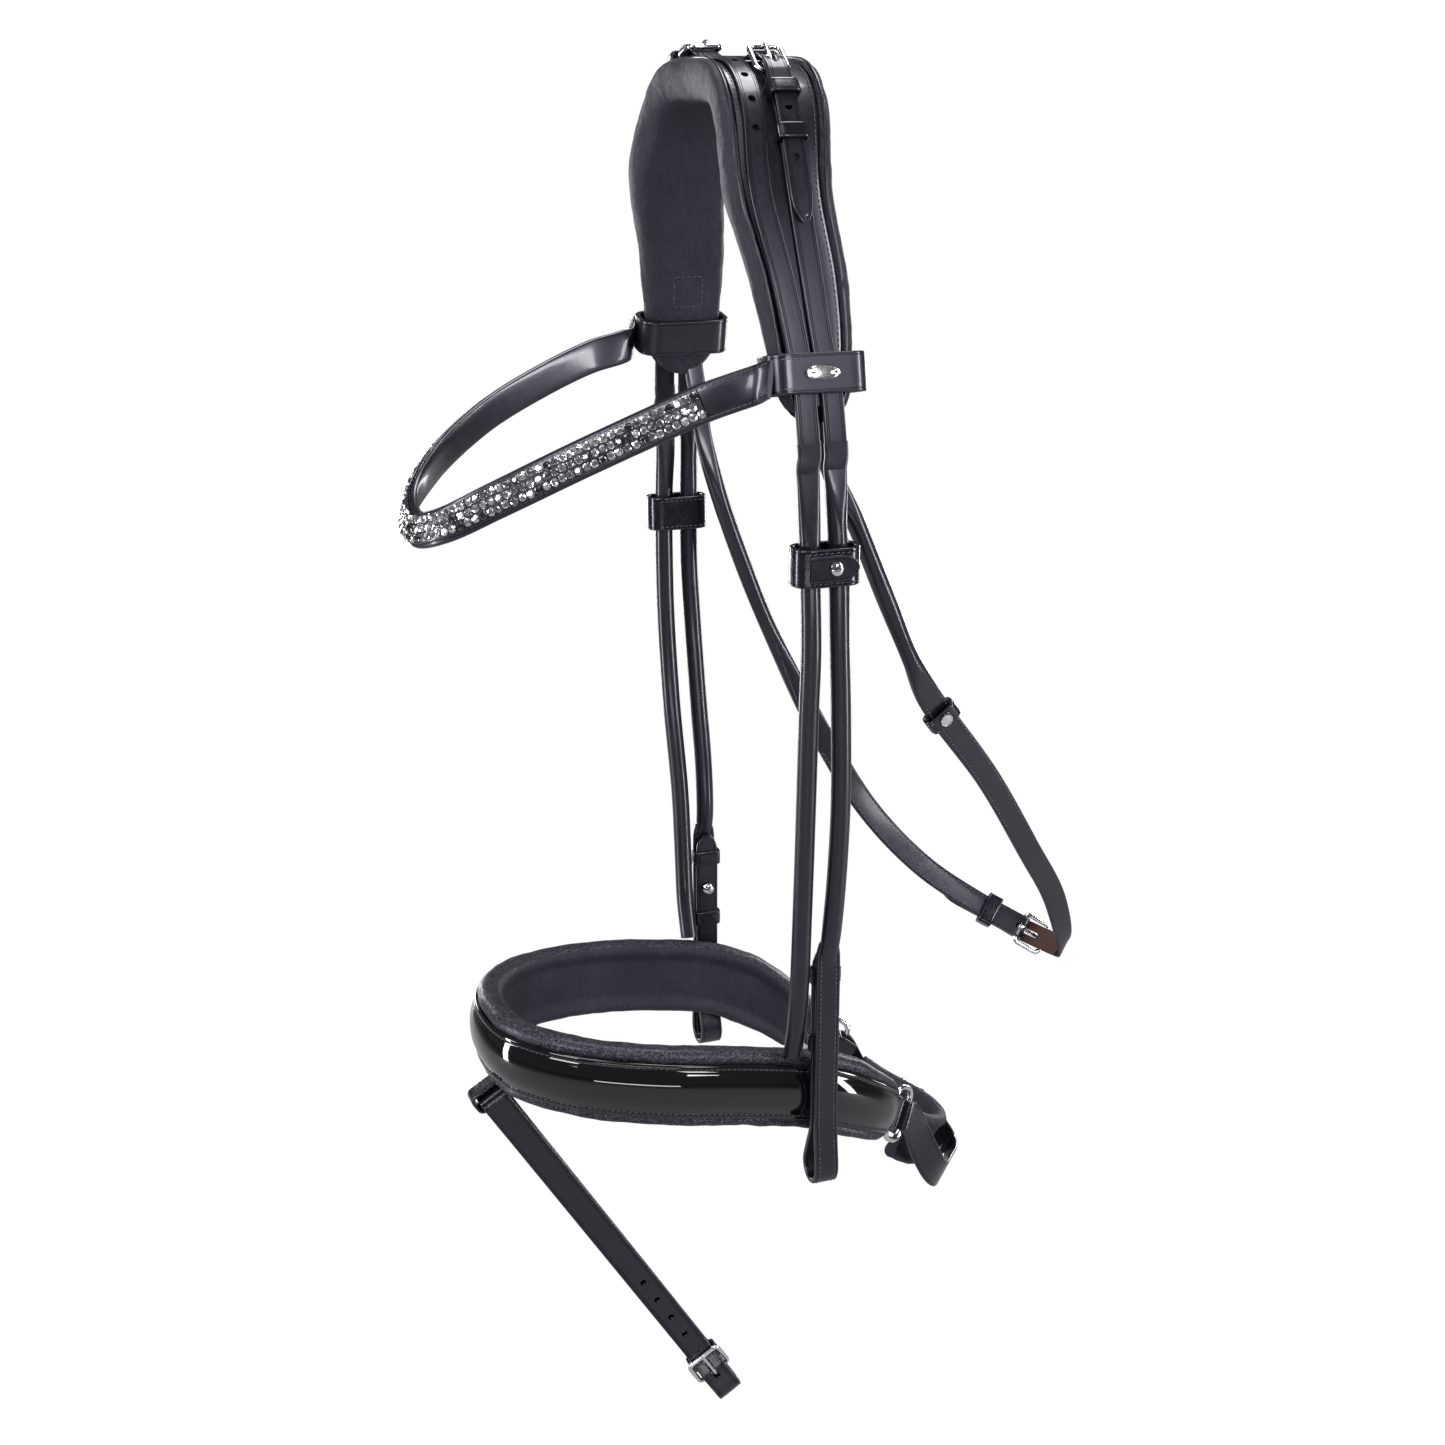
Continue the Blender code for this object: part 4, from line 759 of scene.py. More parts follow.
def staple(name, place, u0, u1, half, foot, top, wall, body, node, material=None):
    """A keeper whose ends are stitched down beside the straps it holds."""
    at = half + 0.45 + wall / 2
    high = top + wall / 2
    line = [(-at, foot), (-at, high - 1.6)] + [(-at + 1.6 - 1.6 * cos(a), high - 1.6 + 1.6 * sin(a))
                                               for a in np.linspace(0.3, pi / 2, 4)]
    line += [(-w, v) for w, v in line[::-1]]
    rows = [(*local(place, (u0 + u1) / 2, v, w), u1 - u0, wall * 0.96, 0) for w, v in line]
    across = place.to_3x3() @ X_AXIS
    return sweep(name, rows, across, one_crease, material or GLOSSY, body, 1.5, replaces=node)


def ring_keeper(name, centre, across, out, width, depth, height, wall, body, node, radius=2.0, material=None):
    """A closed band of leather round its straps, creased along both edges."""
    place = frame_from(centre, across, out)
    a, b = width / 2 + wall / 2, depth / 2 + wall / 2
    rows = [(*local(place, u, v), height, wall * 0.96, 0) for u,
            v in rounded(-a, a, -b, b, radius + wall / 2, 6)]
    rows = fill_rows(rows, 2.5)
    axis = place.to_3x3() @ Z_AXIS
    return sweep(name, rows, axis, one_crease, material or GLOSSY, body, smooth=False, closed=True,
                 replaces=node)


def fill_rows(rows, longest):
    """Adds rows on the long straight stretches of a closed loop."""
    out = []
    rows = [np.array(row, float) for row in rows]
    for a, b in zip(rows, rows[1:] + rows[:1]):
        parts = max(1, ceil(np.linalg.norm(b[:3] - a[:3]) / longest))
        out += [a + (b - a) * k / parts for k in range(parts)]
    return out


# ---------------------------------------------------------------- headpiece

PAD_STEP = 3.0


def pad_width(s):
    """The pad narrows to a round end."""
    _, width, _, _ = table_value(PAD_TABLE, abs(s))
    past = max(0.0, abs(s) - (PAD_END - 14)) / 14.2
    return width * (0.3 + 0.7 * sqrt(max(0.0, 1 - past ** 2)))


def pad_ring(s):
    centre, _, depth, rise = table_value(PAD_TABLE, abs(s))
    half, roll = pad_width(s) / 2, ROLL_WIDTH
    roll = min(roll, half * 0.45)
    floor = -BED_THICK - 0.35
    flat = max(half - 9, half * 0.4)
    side = [(half - roll + 0.1, floor), (half - roll + 0.35, rise - 2.0), (half - roll + 1.6, rise - 0.3),
            (half - roll * 0.52, rise + 0.15), (half - 1.2, rise - 1.3), (half - 0.15, rise - 4.0),
            (half, -depth * 0.42), (half - 1.4, -depth * 0.74), (half - 4.4, -depth * 0.94), (flat, -depth)]
    shape = side + [(flat * 0.4, -depth * 1.0), (-flat * 0.4, -depth * 1.0)] + [(-a, b) for a,
                                                                                b in side[::-1]]
    return [arch(s, lift, centre + y) for y, lift in closed_curve(shape, 3)]


def make_pad():
    count = int(PAD_END / PAD_STEP)
    spots = [k * PAD_STEP for k in range(-count, count + 1)]
    ends = [PAD_END - 0.4 * k for k in (2, 1, 0)]
    rings = [pad_ring(s) for s in [-s for s in ends[::-1]] + spots[1:-1] + ends]
    pad = loft("headpiece_pad_soft", rings, SOFT, "headpiece", replaces="headpiece_pad", slot="padding")
    rumple(pad, 0.42, 9.0, (1.0, 2.0, 1.0))
    rumple(pad, 0.5, 34.0)
    for way, word in ((-1, "front"), (1, "rear")):
        pad_piping(way, word)


def pad_piping(way, word):
    """The corded seam along the top of each roll."""
    rows = []
    for s in np.arange(-PAD_END + 6, PAD_END - 5, 4.0):
        centre, _, _, rise = table_value(PAD_TABLE, abs(s))
        y = centre + way * (pad_width(s) / 2 - ROLL_WIDTH * 0.62)
        rows.append((*arch(s, rise - 0.1, y), 1.5, 1.5, 2.0))
    sweep(f"pad_piping_{word}", rows, Y_AXIS, round_wire, LEATHER, "headpiece", 4.0)


def make_bed():
    rings = []
    for s in np.arange(-192, 192.1, 3.0):
        centre = table_value(PAD_TABLE, abs(s))[0]
        half = pad_width(s) / 2 - min(ROLL_WIDTH, pad_width(s) * 0.22) - 0.2
        shape = [(half, -BED_THICK), (half, -0.3), (half * 0.96, 0.0), (half * 0.4, 0.05),
                 (-half * 0.4, 0.05),
                 (-half * 0.96, 0.0), (-half, -0.3), (-half, -BED_THICK)]
        rings.append([arch(s, lift, centre + y) for y, lift in shape])
    loft("headpiece_bed_leather", rings, LEATHER, "headpiece", replaces="headpiece_bed")
    lines = []
    for way in (-1, 1):
        line = []
        for s in np.arange(-186, 186.1, 3.0):
            centre = table_value(PAD_TABLE, abs(s))[0]
            out = Vector((sin(arch_tilt(s)), 0, cos(arch_tilt(s))))
            line.append((arch(s, 0.12, centre + way * (pad_width(s) / 2 - ROLL_WIDTH - 1.6)), out))
        lines.append(line)
    stitches("headpiece_bed_stitches", lines, "headpiece")
    lines = []
    for side in (1, -1):
        lines.append(patch_outline(side))
    stitches("headpiece_patch_stitches", lines, "headpiece", 3.0)


def patch_outline(side):
    """The sewn rectangle under each end of the pad, where the straps are fastened through it."""
    line = []
    corners = [(146, -7), (146, 8), (162, 8), (162, -7), (146, -7)]
    for (s0, y0), (s1, y1) in zip(corners, corners[1:]):
        for t in np.arange(0, 1, 0.2):
            s = s0 + (s1 - s0) * t
            centre, _, depth, _ = table_value(PAD_TABLE, s)
            out = Vector((sin(arch_tilt(s)), 0, cos(arch_tilt(s)))) * -1
            place = arch(s, -depth - 0.2, centre + y0 + (y1 - y0) * t)
            line.append((Vector((place.x * side, place.y, place.z)), Vector((out.x * side, 0, out.z))))
    return line


def arch_rows(y_table, start, end, lift, width=STRAP_WIDTH, thick=LEAF):
    """Rows of a strap along the arch, at the same stations as its solid."""
    way = 1 if end > start else -1
    stations = [(k + 0.5) * 8.0 for k in range(-24, 24)][::way]
    inside = [s for s in stations if (s - start) * way > 3 and (end - s) * way > 3]
    return [(*arch(s, lift, table_value(y_table, abs(s))[0]), width, thick, 0.0) for s in [start, *inside,
                                                                                           end]]


def strap_end_rows(y_table, side):
    y, y_end = table_value(y_table, 200)[0], table_value(y_table, 205)[0]
    return [(side * 96.8, y, -142, STRAP_WIDTH, 2.2, 0.0),
            (side * 97.2, y_end, -148.0, STRAP_WIDTH, 2.2, 0.0)]


SPEAR = ((0.0, 1.0), (3.0, 0.99), (6.0, 0.95), (9.0, 0.84), (11.5, 0.66), (13.3, 0.44), (14.0, 0.18))


def poll_buckle(label, y_table, heel_s, side, keepers, tip, hole_count):
    """The two strap ends that meet on the crown, with their buckle and keepers."""
    y = table_value(y_table, abs(heel_s))[0]
    tilt = arch_tilt(heel_s)
    out = Vector((sin(tilt), 0, cos(tilt)))
    away = Vector((cos(tilt), 0, -sin(tilt))) * -side
    place = frame_from(arch(heel_s, 0, y), away, out)

    def at(u, v):
        if -3 <= u <= 16:
            return local(place, u, v)
        s = heel_s - side * u
        return arch(s, v, table_value(y_table, abs(s))[0])

    fold = [(*at(u, v), STRAP_WIDTH, LEAF, 0.0) for u, v in CHAPE_LINE]
    lower = arch_rows(y_table, heel_s + side * 20, side * 187, STRAP_LIFT)
    folded = sweep(f"{label}_strap_leather", fold + lower + strap_end_rows(y_table, side), Y_AXIS,
                   two_creases,
                   LEATHER, "headpiece", replaces=f"{label}_strap_{NAMES[side]}")
    over = [(*at(u, v), STRAP_WIDTH, LEAF, 0.0) for u, v in BILLET_LINE]
    near = arch_rows(y_table, -side * 187, heel_s - side * 30, STRAP_LIFT)
    tail = [(*at(-24, 4.6), STRAP_WIDTH, LEAF, 0.0)]
    tail += [(*at(-(tip - 14 + d), 4.1), STRAP_WIDTH * k, LEAF, 0.0) for d, k in SPEAR]
    billet = sweep(f"{label}_billet_leather", strap_end_rows(y_table, -side)[::-1] + near + over + tail,
                   Y_AXIS,
                   two_creases, LEATHER, "headpiece", replaces=f"{label}_billet_{NAMES[-side]}")
    tongue_slots(place, folded, billet)
    tools = []
    for k in range(1, hole_count + 1):
        s = heel_s - side * (10 + 14 * k)
        tools.append(tool_cylinder(arch(s, 1.1, table_value(y_table, abs(s))[0]),
                                   (sin(arch_tilt(s)), 0, cos(arch_tilt(s))), 1.75, 6))
    for d in (22.0, 44.0):
        if d < tip - 16:
            s = heel_s + side * d
            tools.append(tool_cylinder(arch(s, 4.3, table_value(y_table, abs(s))[0]),
                                       (sin(arch_tilt(s)), 0, cos(arch_tilt(s))), 1.75, 2.6))
    punch(billet, tools)
    buckle_wire(f"poll_buckle_{label}_metal", place, STRAP_WIDTH / 2, "headpiece", f"poll_buckle_{label}")
    tongue(f"poll_tongue_{label}_metal", place, f"tongue_poll_{label}", f"poll_tongue_{label}")
    for k, (distance, top) in enumerate(keepers):
        s = heel_s + side * distance
        spot = arch_frame(s, 0, table_value(y_table, abs(s))[0])
        staple(f"poll_keeper_{label}_{k + 1}_leather", spot, -3.5, 3.5, STRAP_WIDTH / 2, 0.3, top, 1.6,
               "headpiece",
               f"poll_keeper_{label}_{k + 1}")


def make_headpiece():
    make_pad()
    make_bed()
    poll_buckle("noseband", NOSE_STRAP_Y, -22, -1, [(13, 6.9), (30, 6.0)], 48, 6)
    poll_buckle("cheek", CHEEK_STRAP_Y, 42, 1, [(13, 6.9), (33, 5.6)], 72, 3)


# ---------------------------------------------------------------- browband

STONE, STONE_ROWS = 4.0, 3


def browband_rows(width, thick):
    """The band's route, carried on at both ends until it lies against the outside of its loops."""
    rows = [(x, y, z, width, thick, 3.2) for x, y, z in BROWBAND_RIGHT[::-1] + BROWBAND_LEFT]
    for side in (1, -1):
        lap = [(side * 92.5, -27.4, -114.2, width * 1.02, thick * 0.8, 3.2),
               (side * 97.0, -26.3, -112.8, width * 1.02, thick * 0.55, 3.2)]
        rows = rows + lap if side == 1 else lap[::-1] + rows
    return rows


def make_browband():
    rows = browband_rows(17, 4.2)
    backing = sweep("browband_backing_soft", rows, BROWBAND_UP, soft_oval, LEATHER, "browband",
                    replaces="browband_backing", slot="padding")
    lines = [seam(rows, BROWBAND_UP, a, -2.12) for a in (6.6, -6.6)]
    stitches("browband_stitches", lines, "browband")
    make_crystals()
    for side in (1, -1):
        browband_loop(side)


def make_crystals():
    """Three close rows of set stones on the front of the browband."""
    route = BROWBAND_RIGHT[::-1] + BROWBAND_LEFT
    shine = [(x, y, z, 13.0, 2.8, 0) for x, y, z in route[2:-1]]
    path = thin_out(spline(shine), 1.5)
    along = np.concatenate(([0], np.cumsum(np.linalg.norm(np.diff(path[:, :3], axis=0), axis=1))))
    spots = frames(path, BROWBAND_UP)
    lift = -(2.1 + 0.7 + 0.5)
    bed = [(*(point + out * lift), 13.2, 1.2, 0) for point, _, _, out in spots]
    sweep("browband_crystal_bed", np.array(bed), BROWBAND_UP, plain_flat, LEATHER, "browband", smooth=False,
          slot="leather")
    random = Random(7)
    stones = ([], [], [])
    settings = ([], [])
    for row in range(STONE_ROWS):
        across = (row - (STONE_ROWS - 1) / 2) * STONE * 1.02
        at = STONE * (0.75 if row % 2 else 0.25) + 1.0
        while at < along[-1] - 1.5:
            k = int(np.clip(np.searchsorted(along, at) - 1, 0, len(path) - 2))
            t = (at - along[k]) / (along[k + 1] - along[k])
            point = spots[k][0].lerp(spots[k + 1][0], t)
            _, forward, side, out = spots[k]
            normal = (-out).normalized()
            centre = point + side * across + normal * (-lift + 0.6)
            tilt = (normal + forward * random.uniform(-0.3, 0.3) + side * random.uniform(-0.3,
                                                                                         0.3)).normalized()
            kind = random.choices((0, 1, 2), (0.55, 0.30, 0.15))[0]
            loose = forward * random.uniform(-0.25, 0.25) + side * random.uniform(-0.25, 0.25)
            lifted = normal * random.uniform(-0.15, 0.25)
            add_stone(stones[kind], centre + loose + lifted, tilt, forward, random.uniform(0, pi / 4))
            add_setting(settings, centre, normal, forward)
            at += STONE
    for kind, rings in enumerate(stones):
        stone_piece(f"browband_stones_{('clear', 'smoke', 'jet')[kind]}", rings, CRYSTALS[kind], kind == 0)
    piece("browband_settings", *settings, STEEL, "browband", slot="steel", angle=0.5)


def add_stone(rings, centre, normal, forward, turn):
    """A brilliant's table, crown and girdle as three rings of eight."""
    side = normal.cross(forward).normalized()
    ahead = side.cross(normal)
    made = []
    for radius, height, twist_and_glints in ((2.1, -0.4, 0.0), (2.05, 0.1, 0.0), (1.55, 0.75, pi / 8), (1.02, 1.1, 0.0)):
        ring = []
        for k in range(8):
            angle = turn + twist_and_glints + k * pi / 4
            ring.append(centre + (side * cos(angle) + ahead * sin(angle)) * radius + normal * height)
        made.append(ring)
    rings.append(made)


def stone_piece(name, stones, material, replaces):
    """The stones of one colour as one mesh, flat-shaded so that each facet catches light on its own."""
    points, faces = [], []
    for rings in stones:
        start = len(points)
        points += [p for ring in rings for p in ring]
        for i in range(3):
            for k in range(8):
                m = (k + 1) % 8
                a, b = start + i * 8 + k, start + i * 8 + m
                c, d = a + 8, b + 8
                faces += [(a, b, c), (b, d, c)] if i else [(a, b, d, c)]
        faces.append(tuple(start + 24 + k for k in range(8)))
        faces.append(tuple(start + 7 - k for k in range(8)))
    obj = piece(name, points, faces, material, "browband", ("browband_crystals",) if replaces else (),
                "crystal")
    obj.data.shade_flat()


def add_setting(settings, centre, normal, forward):
    """A cup with four claws round each stone."""
    points, faces = settings
    side = normal.cross(forward).normalized()
    ahead = side.cross(normal)
    start = len(points)
    for radius, height in ((1.6, -1.2), (1.95, -0.2), (1.8, -0.05), (1.4, -1.2)):
        for k in range(10):
            angle = k * pi / 5
            points.append(centre + (side * cos(angle) + ahead * sin(angle)) * radius + normal * height)
    for i in range(3):
        for k in range(10):
            m = (k + 1) % 10
            faces.append((start + i * 10 + k, start + i * 10 + m, start + i * 10 + 10 + m,
                          start + i * 10 + 10 + k))
    for k in range(4):
        angle = pi / 4 + k * pi / 2
        way = side * cos(angle) + ahead * sin(angle)
        add_claw(points, faces, centre + way * 1.85, centre + way * 1.5 + normal * 0.6, way)


def add_claw(points, faces, foot, tip, way):
    start = len(points)
    line = (tip - foot).normalized()
    side = line.cross(way).normalized()
    for centre, size in ((foot, 0.32), (tip, 0.3), (tip + line * 0.16, 0.14)):
        for k in range(5):
            angle = 2 * pi * k / 5
            points.append(centre + (side * cos(angle) + way * sin(angle)) * size)
    for i in range(2):
        for k in range(5):
            m = (k + 1) % 5
            faces.append((start + i * 5 + k, start + i * 5 + m, start + i * 5 + 5 + m, start + i * 5 + 5 + k))
    faces.append(tuple(start + 10 + k for k in range(5)))


def browband_loop(side):
    centre, width, depth, _ = table_value(PAD_TABLE, LOOP_S)
    tilt = arch_tilt(LOOP_S)
    out = Vector((sin(tilt) * side, 0, cos(tilt)))
    middle = arch(LOOP_S * side, (LOOP_RAISE - depth) / 2, centre)
    name = NAMES[side]
    wide, deep = width + LOOP_ROOM_Y, depth + LOOP_ROOM
    ring_keeper(f"browband_loop_{name}_leather", middle, Y_AXIS, out, wide, deep, LOOP_HEIGHT, LOOP_WALL,
                "browband", f"browband_loop_{name}", radius=5.5, material=LEATHER)
    place = frame_from(middle, Y_AXIS, out)
    lines = []
    for w in (LOOP_HEIGHT / 2 - 2.4, 2.4 - LOOP_HEIGHT / 2):
        line = [(Vector(local(place, u, deep / 2 + LOOP_WALL, w)), out) for u in np.linspace(2 - wide / 2,
                                                                                             -8.5, 6)]
        lines.append(line)
    stitches(f"browband_loop_{name}_stitches", lines, "browband")
    if side == 1:
        browband_plate(centre, depth, tilt)


def browband_plate(centre, depth, tilt):
    """A plain oval plate with a raised rim."""
    face = arch(LOOP_S, (LOOP_RAISE - depth) / 2 + (depth + LOOP_ROOM) / 2 + LOOP_WALL, centre)
    place = frame_from(face, Y_AXIS, Vector((cos(tilt), 0, -sin(tilt))))
    out = Vector((sin(tilt), 0, cos(tilt)))
    rings = []
    for size, height in ((1.0, 0.3), (1.0, 1.1), (0.93, 1.4), (0.84, 1.35), (0.78, 1.0), (0.4, 1.12),
                         (0.02, 1.16)):
        ring = []
        for k in range(40):
            angle = 2 * pi * k / 40
            ring.append(Vector(local(place, 8 * size * cos(angle), 3.3 * size * sin(angle))) + out * height)
        rings.append(ring)
    loft("browband_badge_metal", rings, STEEL, "browband", replaces="browband_badge", slot="steel")


# ---------------------------------------------------------------- noseband


def noseband_route():
    half = NOSEBAND_HALF
    return [(-x, y, z, 20, 2, 0) for x, y, z in half[:0:-1]] + [(x, y, z, 20, 2, 0) for x, y, z in half]


def band_frames(step=3.0):
    route = thin_out(spline(noseband_route()), step, 0.08)
    along = np.concatenate(([0], np.cumsum(np.linalg.norm(np.diff(route[:, :3], axis=0), axis=1))))
    ends = np.minimum(along, along[-1] - along)
    spots = [(point, side, -out, end) for (point, _, side, out), end in zip(frames(route, Z_AXIS), ends)]
    return spots


def band_shape(spots, shape_of):
    """Rings round the band from (height, outward) pairs worked out at each distance from its ends."""
    return [[point + side * a + out * b for a, b in shape_of(end)] for point, side, out, end in spots]


def lining_shape(end):
    """Two soft rolls, one along each edge, with a shallower channel between them on both faces."""
    half = (LINING_HEIGHT - 9 * max(0, 1 - end / NARROWS)) / 2 * sqrt(min(1, 0.45 + end / 10))
    t = LINING_THICK
    side = [(half * 0.52, -0.35), (half * 0.66, -0.15), (half * 0.74, 0.6), (half * 0.86, 0.75),
            (half * 0.97, -1.3),
            (half, -4.6), (half * 0.975, -8.6), (half * 0.88, -t + 0.5), (half * 0.74, -t - 0.1),
            (half * 0.60, -t + 1.2), (half * 0.5, -t + 2.2), (half * 0.2, -t + 2.0)]
    shape = side + [(-a, b) for a, b in side[::-1]]
    return closed_curve(shape, 3)


def roll_faces(obj, count):
    """Gives the outward sides of the rolls the speckled leather."""
    obj.data.materials.append(SPECKLED)
    for polygon in obj.data.polygons:
        if polygon.index < 2:
            continue
        k = (polygon.index - 2) % count
        share = min(k, count - 1 - k) / count
        if 0.05 < share < 0.27:
            polygon.material_index = 1


def patent_shape(end):
    """A crowned band with thin edges for the stitching."""
    half = (PATENT_HEIGHT - 6 * max(0, 1 - end / NARROWS)) / 2
    low = PATENT_GAP
    full = min(1.0, 0.35 + end / 16)
    swell = (PATENT_THICK - 1.5) * full
    crown = half - 3.3
    side = [(half, low), (half, low + 0.9), (half - 0.5, low + 1.3), (half - 1.7, low + 1.3),
            (half - 1.9, low + 0.95),
            (half - 2.3, low + 0.95), (half - 2.5, low + 1.3), (crown, low + 1.5)]
    side += [(crown * a, low + 1.5 + swell * (1 - a ** 2.2)) for a in (0.9, 0.78, 0.65, 0.5, 0.34, 0.17, 0.0)]
    return side + [(-a, b) for a, b in side[-2::-1]]


def make_noseband():
    spots = band_frames()
    rings = band_shape(spots, lining_shape)
    lining = loft("noseband_lining_soft", rings, SOFT, "noseband", replaces="noseband_lining", slot="padding")
    roll_faces(lining, len(rings[0]))
    rumple(lining, 0.35, 8.0, (1, 1, 0.5))
    rumple(lining, 0.5, 26.0)
    shaped = [spot for spot in spots if spot[3] > 1.5]
    loft("noseband_patent_band", band_shape(shaped, patent_shape), PATENT, "noseband",
         replaces="noseband_patent",
         slot="patent", angle=0.9)
    lines = []
    for way in (1, -1):
        line = []
        for point, side, out, end in shaped:
            half = (PATENT_HEIGHT - 6 * max(0, 1 - end / NARROWS)) / 2
            line.append((point + side * way * (half - 2.1) + out * (PATENT_GAP + 1.15), out))
        lines.append(line)
    stitches("noseband_patent_stitches", lines, "noseband", 2.8)
    for side in (1, -1):
        noseband_hanger(side)
        noseband_end(side)
    ring_keeper("flash_loop_leather", FLASH_TOP, FLASH_ACROSS, FLASH_DOWN, FLASH_WIDTH + 2.4, 8.4, 10.0, 1.8,
                "noseband", "flash_loop")


def rolled_rows(points, side, start, end):
    """A strap that is flat above start and fully rolled below end."""
    rows = []
    for x, y, z in points:
        part = np.clip((start - z) / (start - end), 0, 1)
        part = part * part * (3 - 2 * part)
        forward = 0 if side == 1 else table_value(RIGHT_FORWARD, z)[0]
        rows.append((side * x, y - forward, z, STRAP_WIDTH + (ROLLED - STRAP_WIDTH) * part,
                     2.8 + (ROLLED - 2.8) * part, 6.0 - 4.0 * part))
    return rows


def noseband_hanger(side):
    rows = rolled_rows(NOSE_HANGER, side, -154, -188)
    sweep(f"noseband_hanger_{NAMES[side]}_rolled", rows, Y_AXIS, soft_oval, LEATHER, "noseband", 4.0,
          replaces=f"noseband_hanger_{NAMES[side]}")


def band_end(side):
    """The place and the three directions at an end of the band, 3 mm inside its route."""
    route = spline(noseband_route())
    point, forward, up, out = frames(route, Z_AXIS)[-1]
    moved = [p + o * 3.0 for p, _, _, o in frames(route[-3:], Z_AXIS)]
    point = moved[-1]
    return [Vector((p.x * side, p.y, p.z)) for p in (point, forward, up, out)]


def noseband_end(side):
    """The leather fold at each end of the noseband, and the ring it holds."""
    point, forward, up, out = band_end(side)
    bar = WIRE_RING / 2 + 0.25 + 1.0
    line = [(0.6, bar)] + [(RING_BAR + bar * sin(a), bar * cos(a)) for a in np.linspace(0, pi, 6)] + [(0.6,
                                                                                                       -bar)]
    rows = [(*(point + forward * u + out * v), 18.0, 2.0, 0.0) for u, v in line]
    sweep(f"noseband_chape_{NAMES[side]}_leather", rows, up, one_crease, GLOSSY, "noseband", 1.2,
          replaces=f"noseband_chape_{NAMES[side]}")
    place = frame_from(point + forward * RING_BAR, forward, up)
    rows = [(*local(place, u, v), WIRE_RING, WIRE_RING, 0)
            for u, v in rounded(0, RING_LENGTH, -RING_HEIGHT / 2, RING_HEIGHT / 2, 5.2, 8)]
    sweep(f"noseband_ring_{NAMES[side]}_metal", fill_rows(rows, 4), place.to_3x3() @ Z_AXIS, round_wire,
          STEEL,
          f"ring_{NAMES[side]}", smooth=False, closed=True, replaces=f"noseband_ring_{NAMES[side]}",
          slot="steel")


# ---------------------------------------------------------------- cheekpieces


def make_cheekpiece(side):
    name, body = NAMES[side], f"cheek_{NAMES[side]}"
    rows = rolled_rows(CHEEK_ROLLED, side, -152.5, -168)
    rows += [(side * 87.9, BILLET_Y, -391, 8.4, 4.0, 3.0), (side * 87.5, BILLET_Y, -397, 7.0, 2.2, 3.0)]
    sweep(f"cheekpiece_{name}_rolled", rows, Y_AXIS, soft_oval, LEATHER, body, 4.0,
          replaces=f"cheekpiece_{name}")
    flat = (BILLET_WIDTH, BILLET_LEAF, 0.0)
    turn_x, turn_z, radius = 82.4, -506.0, 7.4
    rows = [(side * BILLET_OUT_X, BILLET_Y, z, width, BILLET_LEAF, 0)
            for z, width in ((-380.5, 4.0), (-382, 7.5), (-385, 10.2), (-389, 11.7), (-395, BILLET_WIDTH),
                             (-440, BILLET_WIDTH), (-478, BILLET_WIDTH))]
    rows.append((side * 88.6, BILLET_Y, -492, *flat))
    for angle in np.radians((0, -45, -78, -102, -135, -180)):
        rows.append((side * (turn_x + radius * cos(angle)), BILLET_Y, turn_z + radius * sin(angle), *flat))
    rows += [(side * 78.2, BILLET_Y, -495.5, *flat), (side * 82.4, BILLET_Y, -484, *flat)]
    rows += [(side * BILLET_IN_X, BILLET_Y, z, width, BILLET_LEAF, 0)
             for z, width in ((-470, BILLET_WIDTH), (-440, BILLET_WIDTH), (-402, BILLET_WIDTH), (-396, 11.6),
                              (-392, 9.6), (-390, 6.5), (-389.2, 3.5))]
    billet = sweep(f"cheek_billet_{name}_leather", rows, Y_AXIS, one_crease, LEATHER, body, 3.0)
    stud_z = -420.0
    punch(billet, [tool_cylinder((side * BILLET_IN_X, BILLET_Y, stud_z), X_AXIS, 2.2, 3.4)])
    lines = [seam(rows, Y_AXIS, a, b, 8, 130) for a in (4.0, -4.0) for b in (-1.34, 1.34)]
    stitches(f"cheek_billet_{name}_stitches", lines, body, 2.4)
    hook_stud(side, stud_z)
    for k, z in enumerate((-402.0, -438.0)):
        inside = BILLET_OUT_X - BILLET_LEAF / 2 - 0.35
        place = frame_from((side * inside, BILLET_Y, z), Z_AXIS, (-side, 0, 0))
        deep = inside - BILLET_IN_X + BILLET_LEAF / 2 + 0.35
        staple(f"billet_keeper_{name}_{k + 1}_leather", place, -4.0, 4.0, BILLET_WIDTH / 2 - 0.1, 0.0, deep,
               1.2,
               body, f"billet_keeper_{name}_{k + 1}")


def hook_stud(side, z):
    leaf_in = BILLET_IN_X - BILLET_LEAF / 2
    base = BILLET_IN_X + BILLET_LEAF / 2 + 0.3
    head = base - leaf_in + 0.5
    profile = [(0, -1.0), (3.4, -1.0), (3.6, -0.8), (3.6, -0.1), (1.7, 0), (1.6, head), (3.0, head + 0.3),
               (3.4, head + 0.7), (3.35, head + 1.3), (2.8, head + 1.9), (1.8, head + 2.35), (0, head + 2.6)]
    turned(f"hook_stud_{NAMES[side]}_metal", profile, (side * base, BILLET_Y, z), (-side, 0, 0), STEEL,
           f"cheek_{NAMES[side]}", f"hook_stud_{NAMES[side]}")


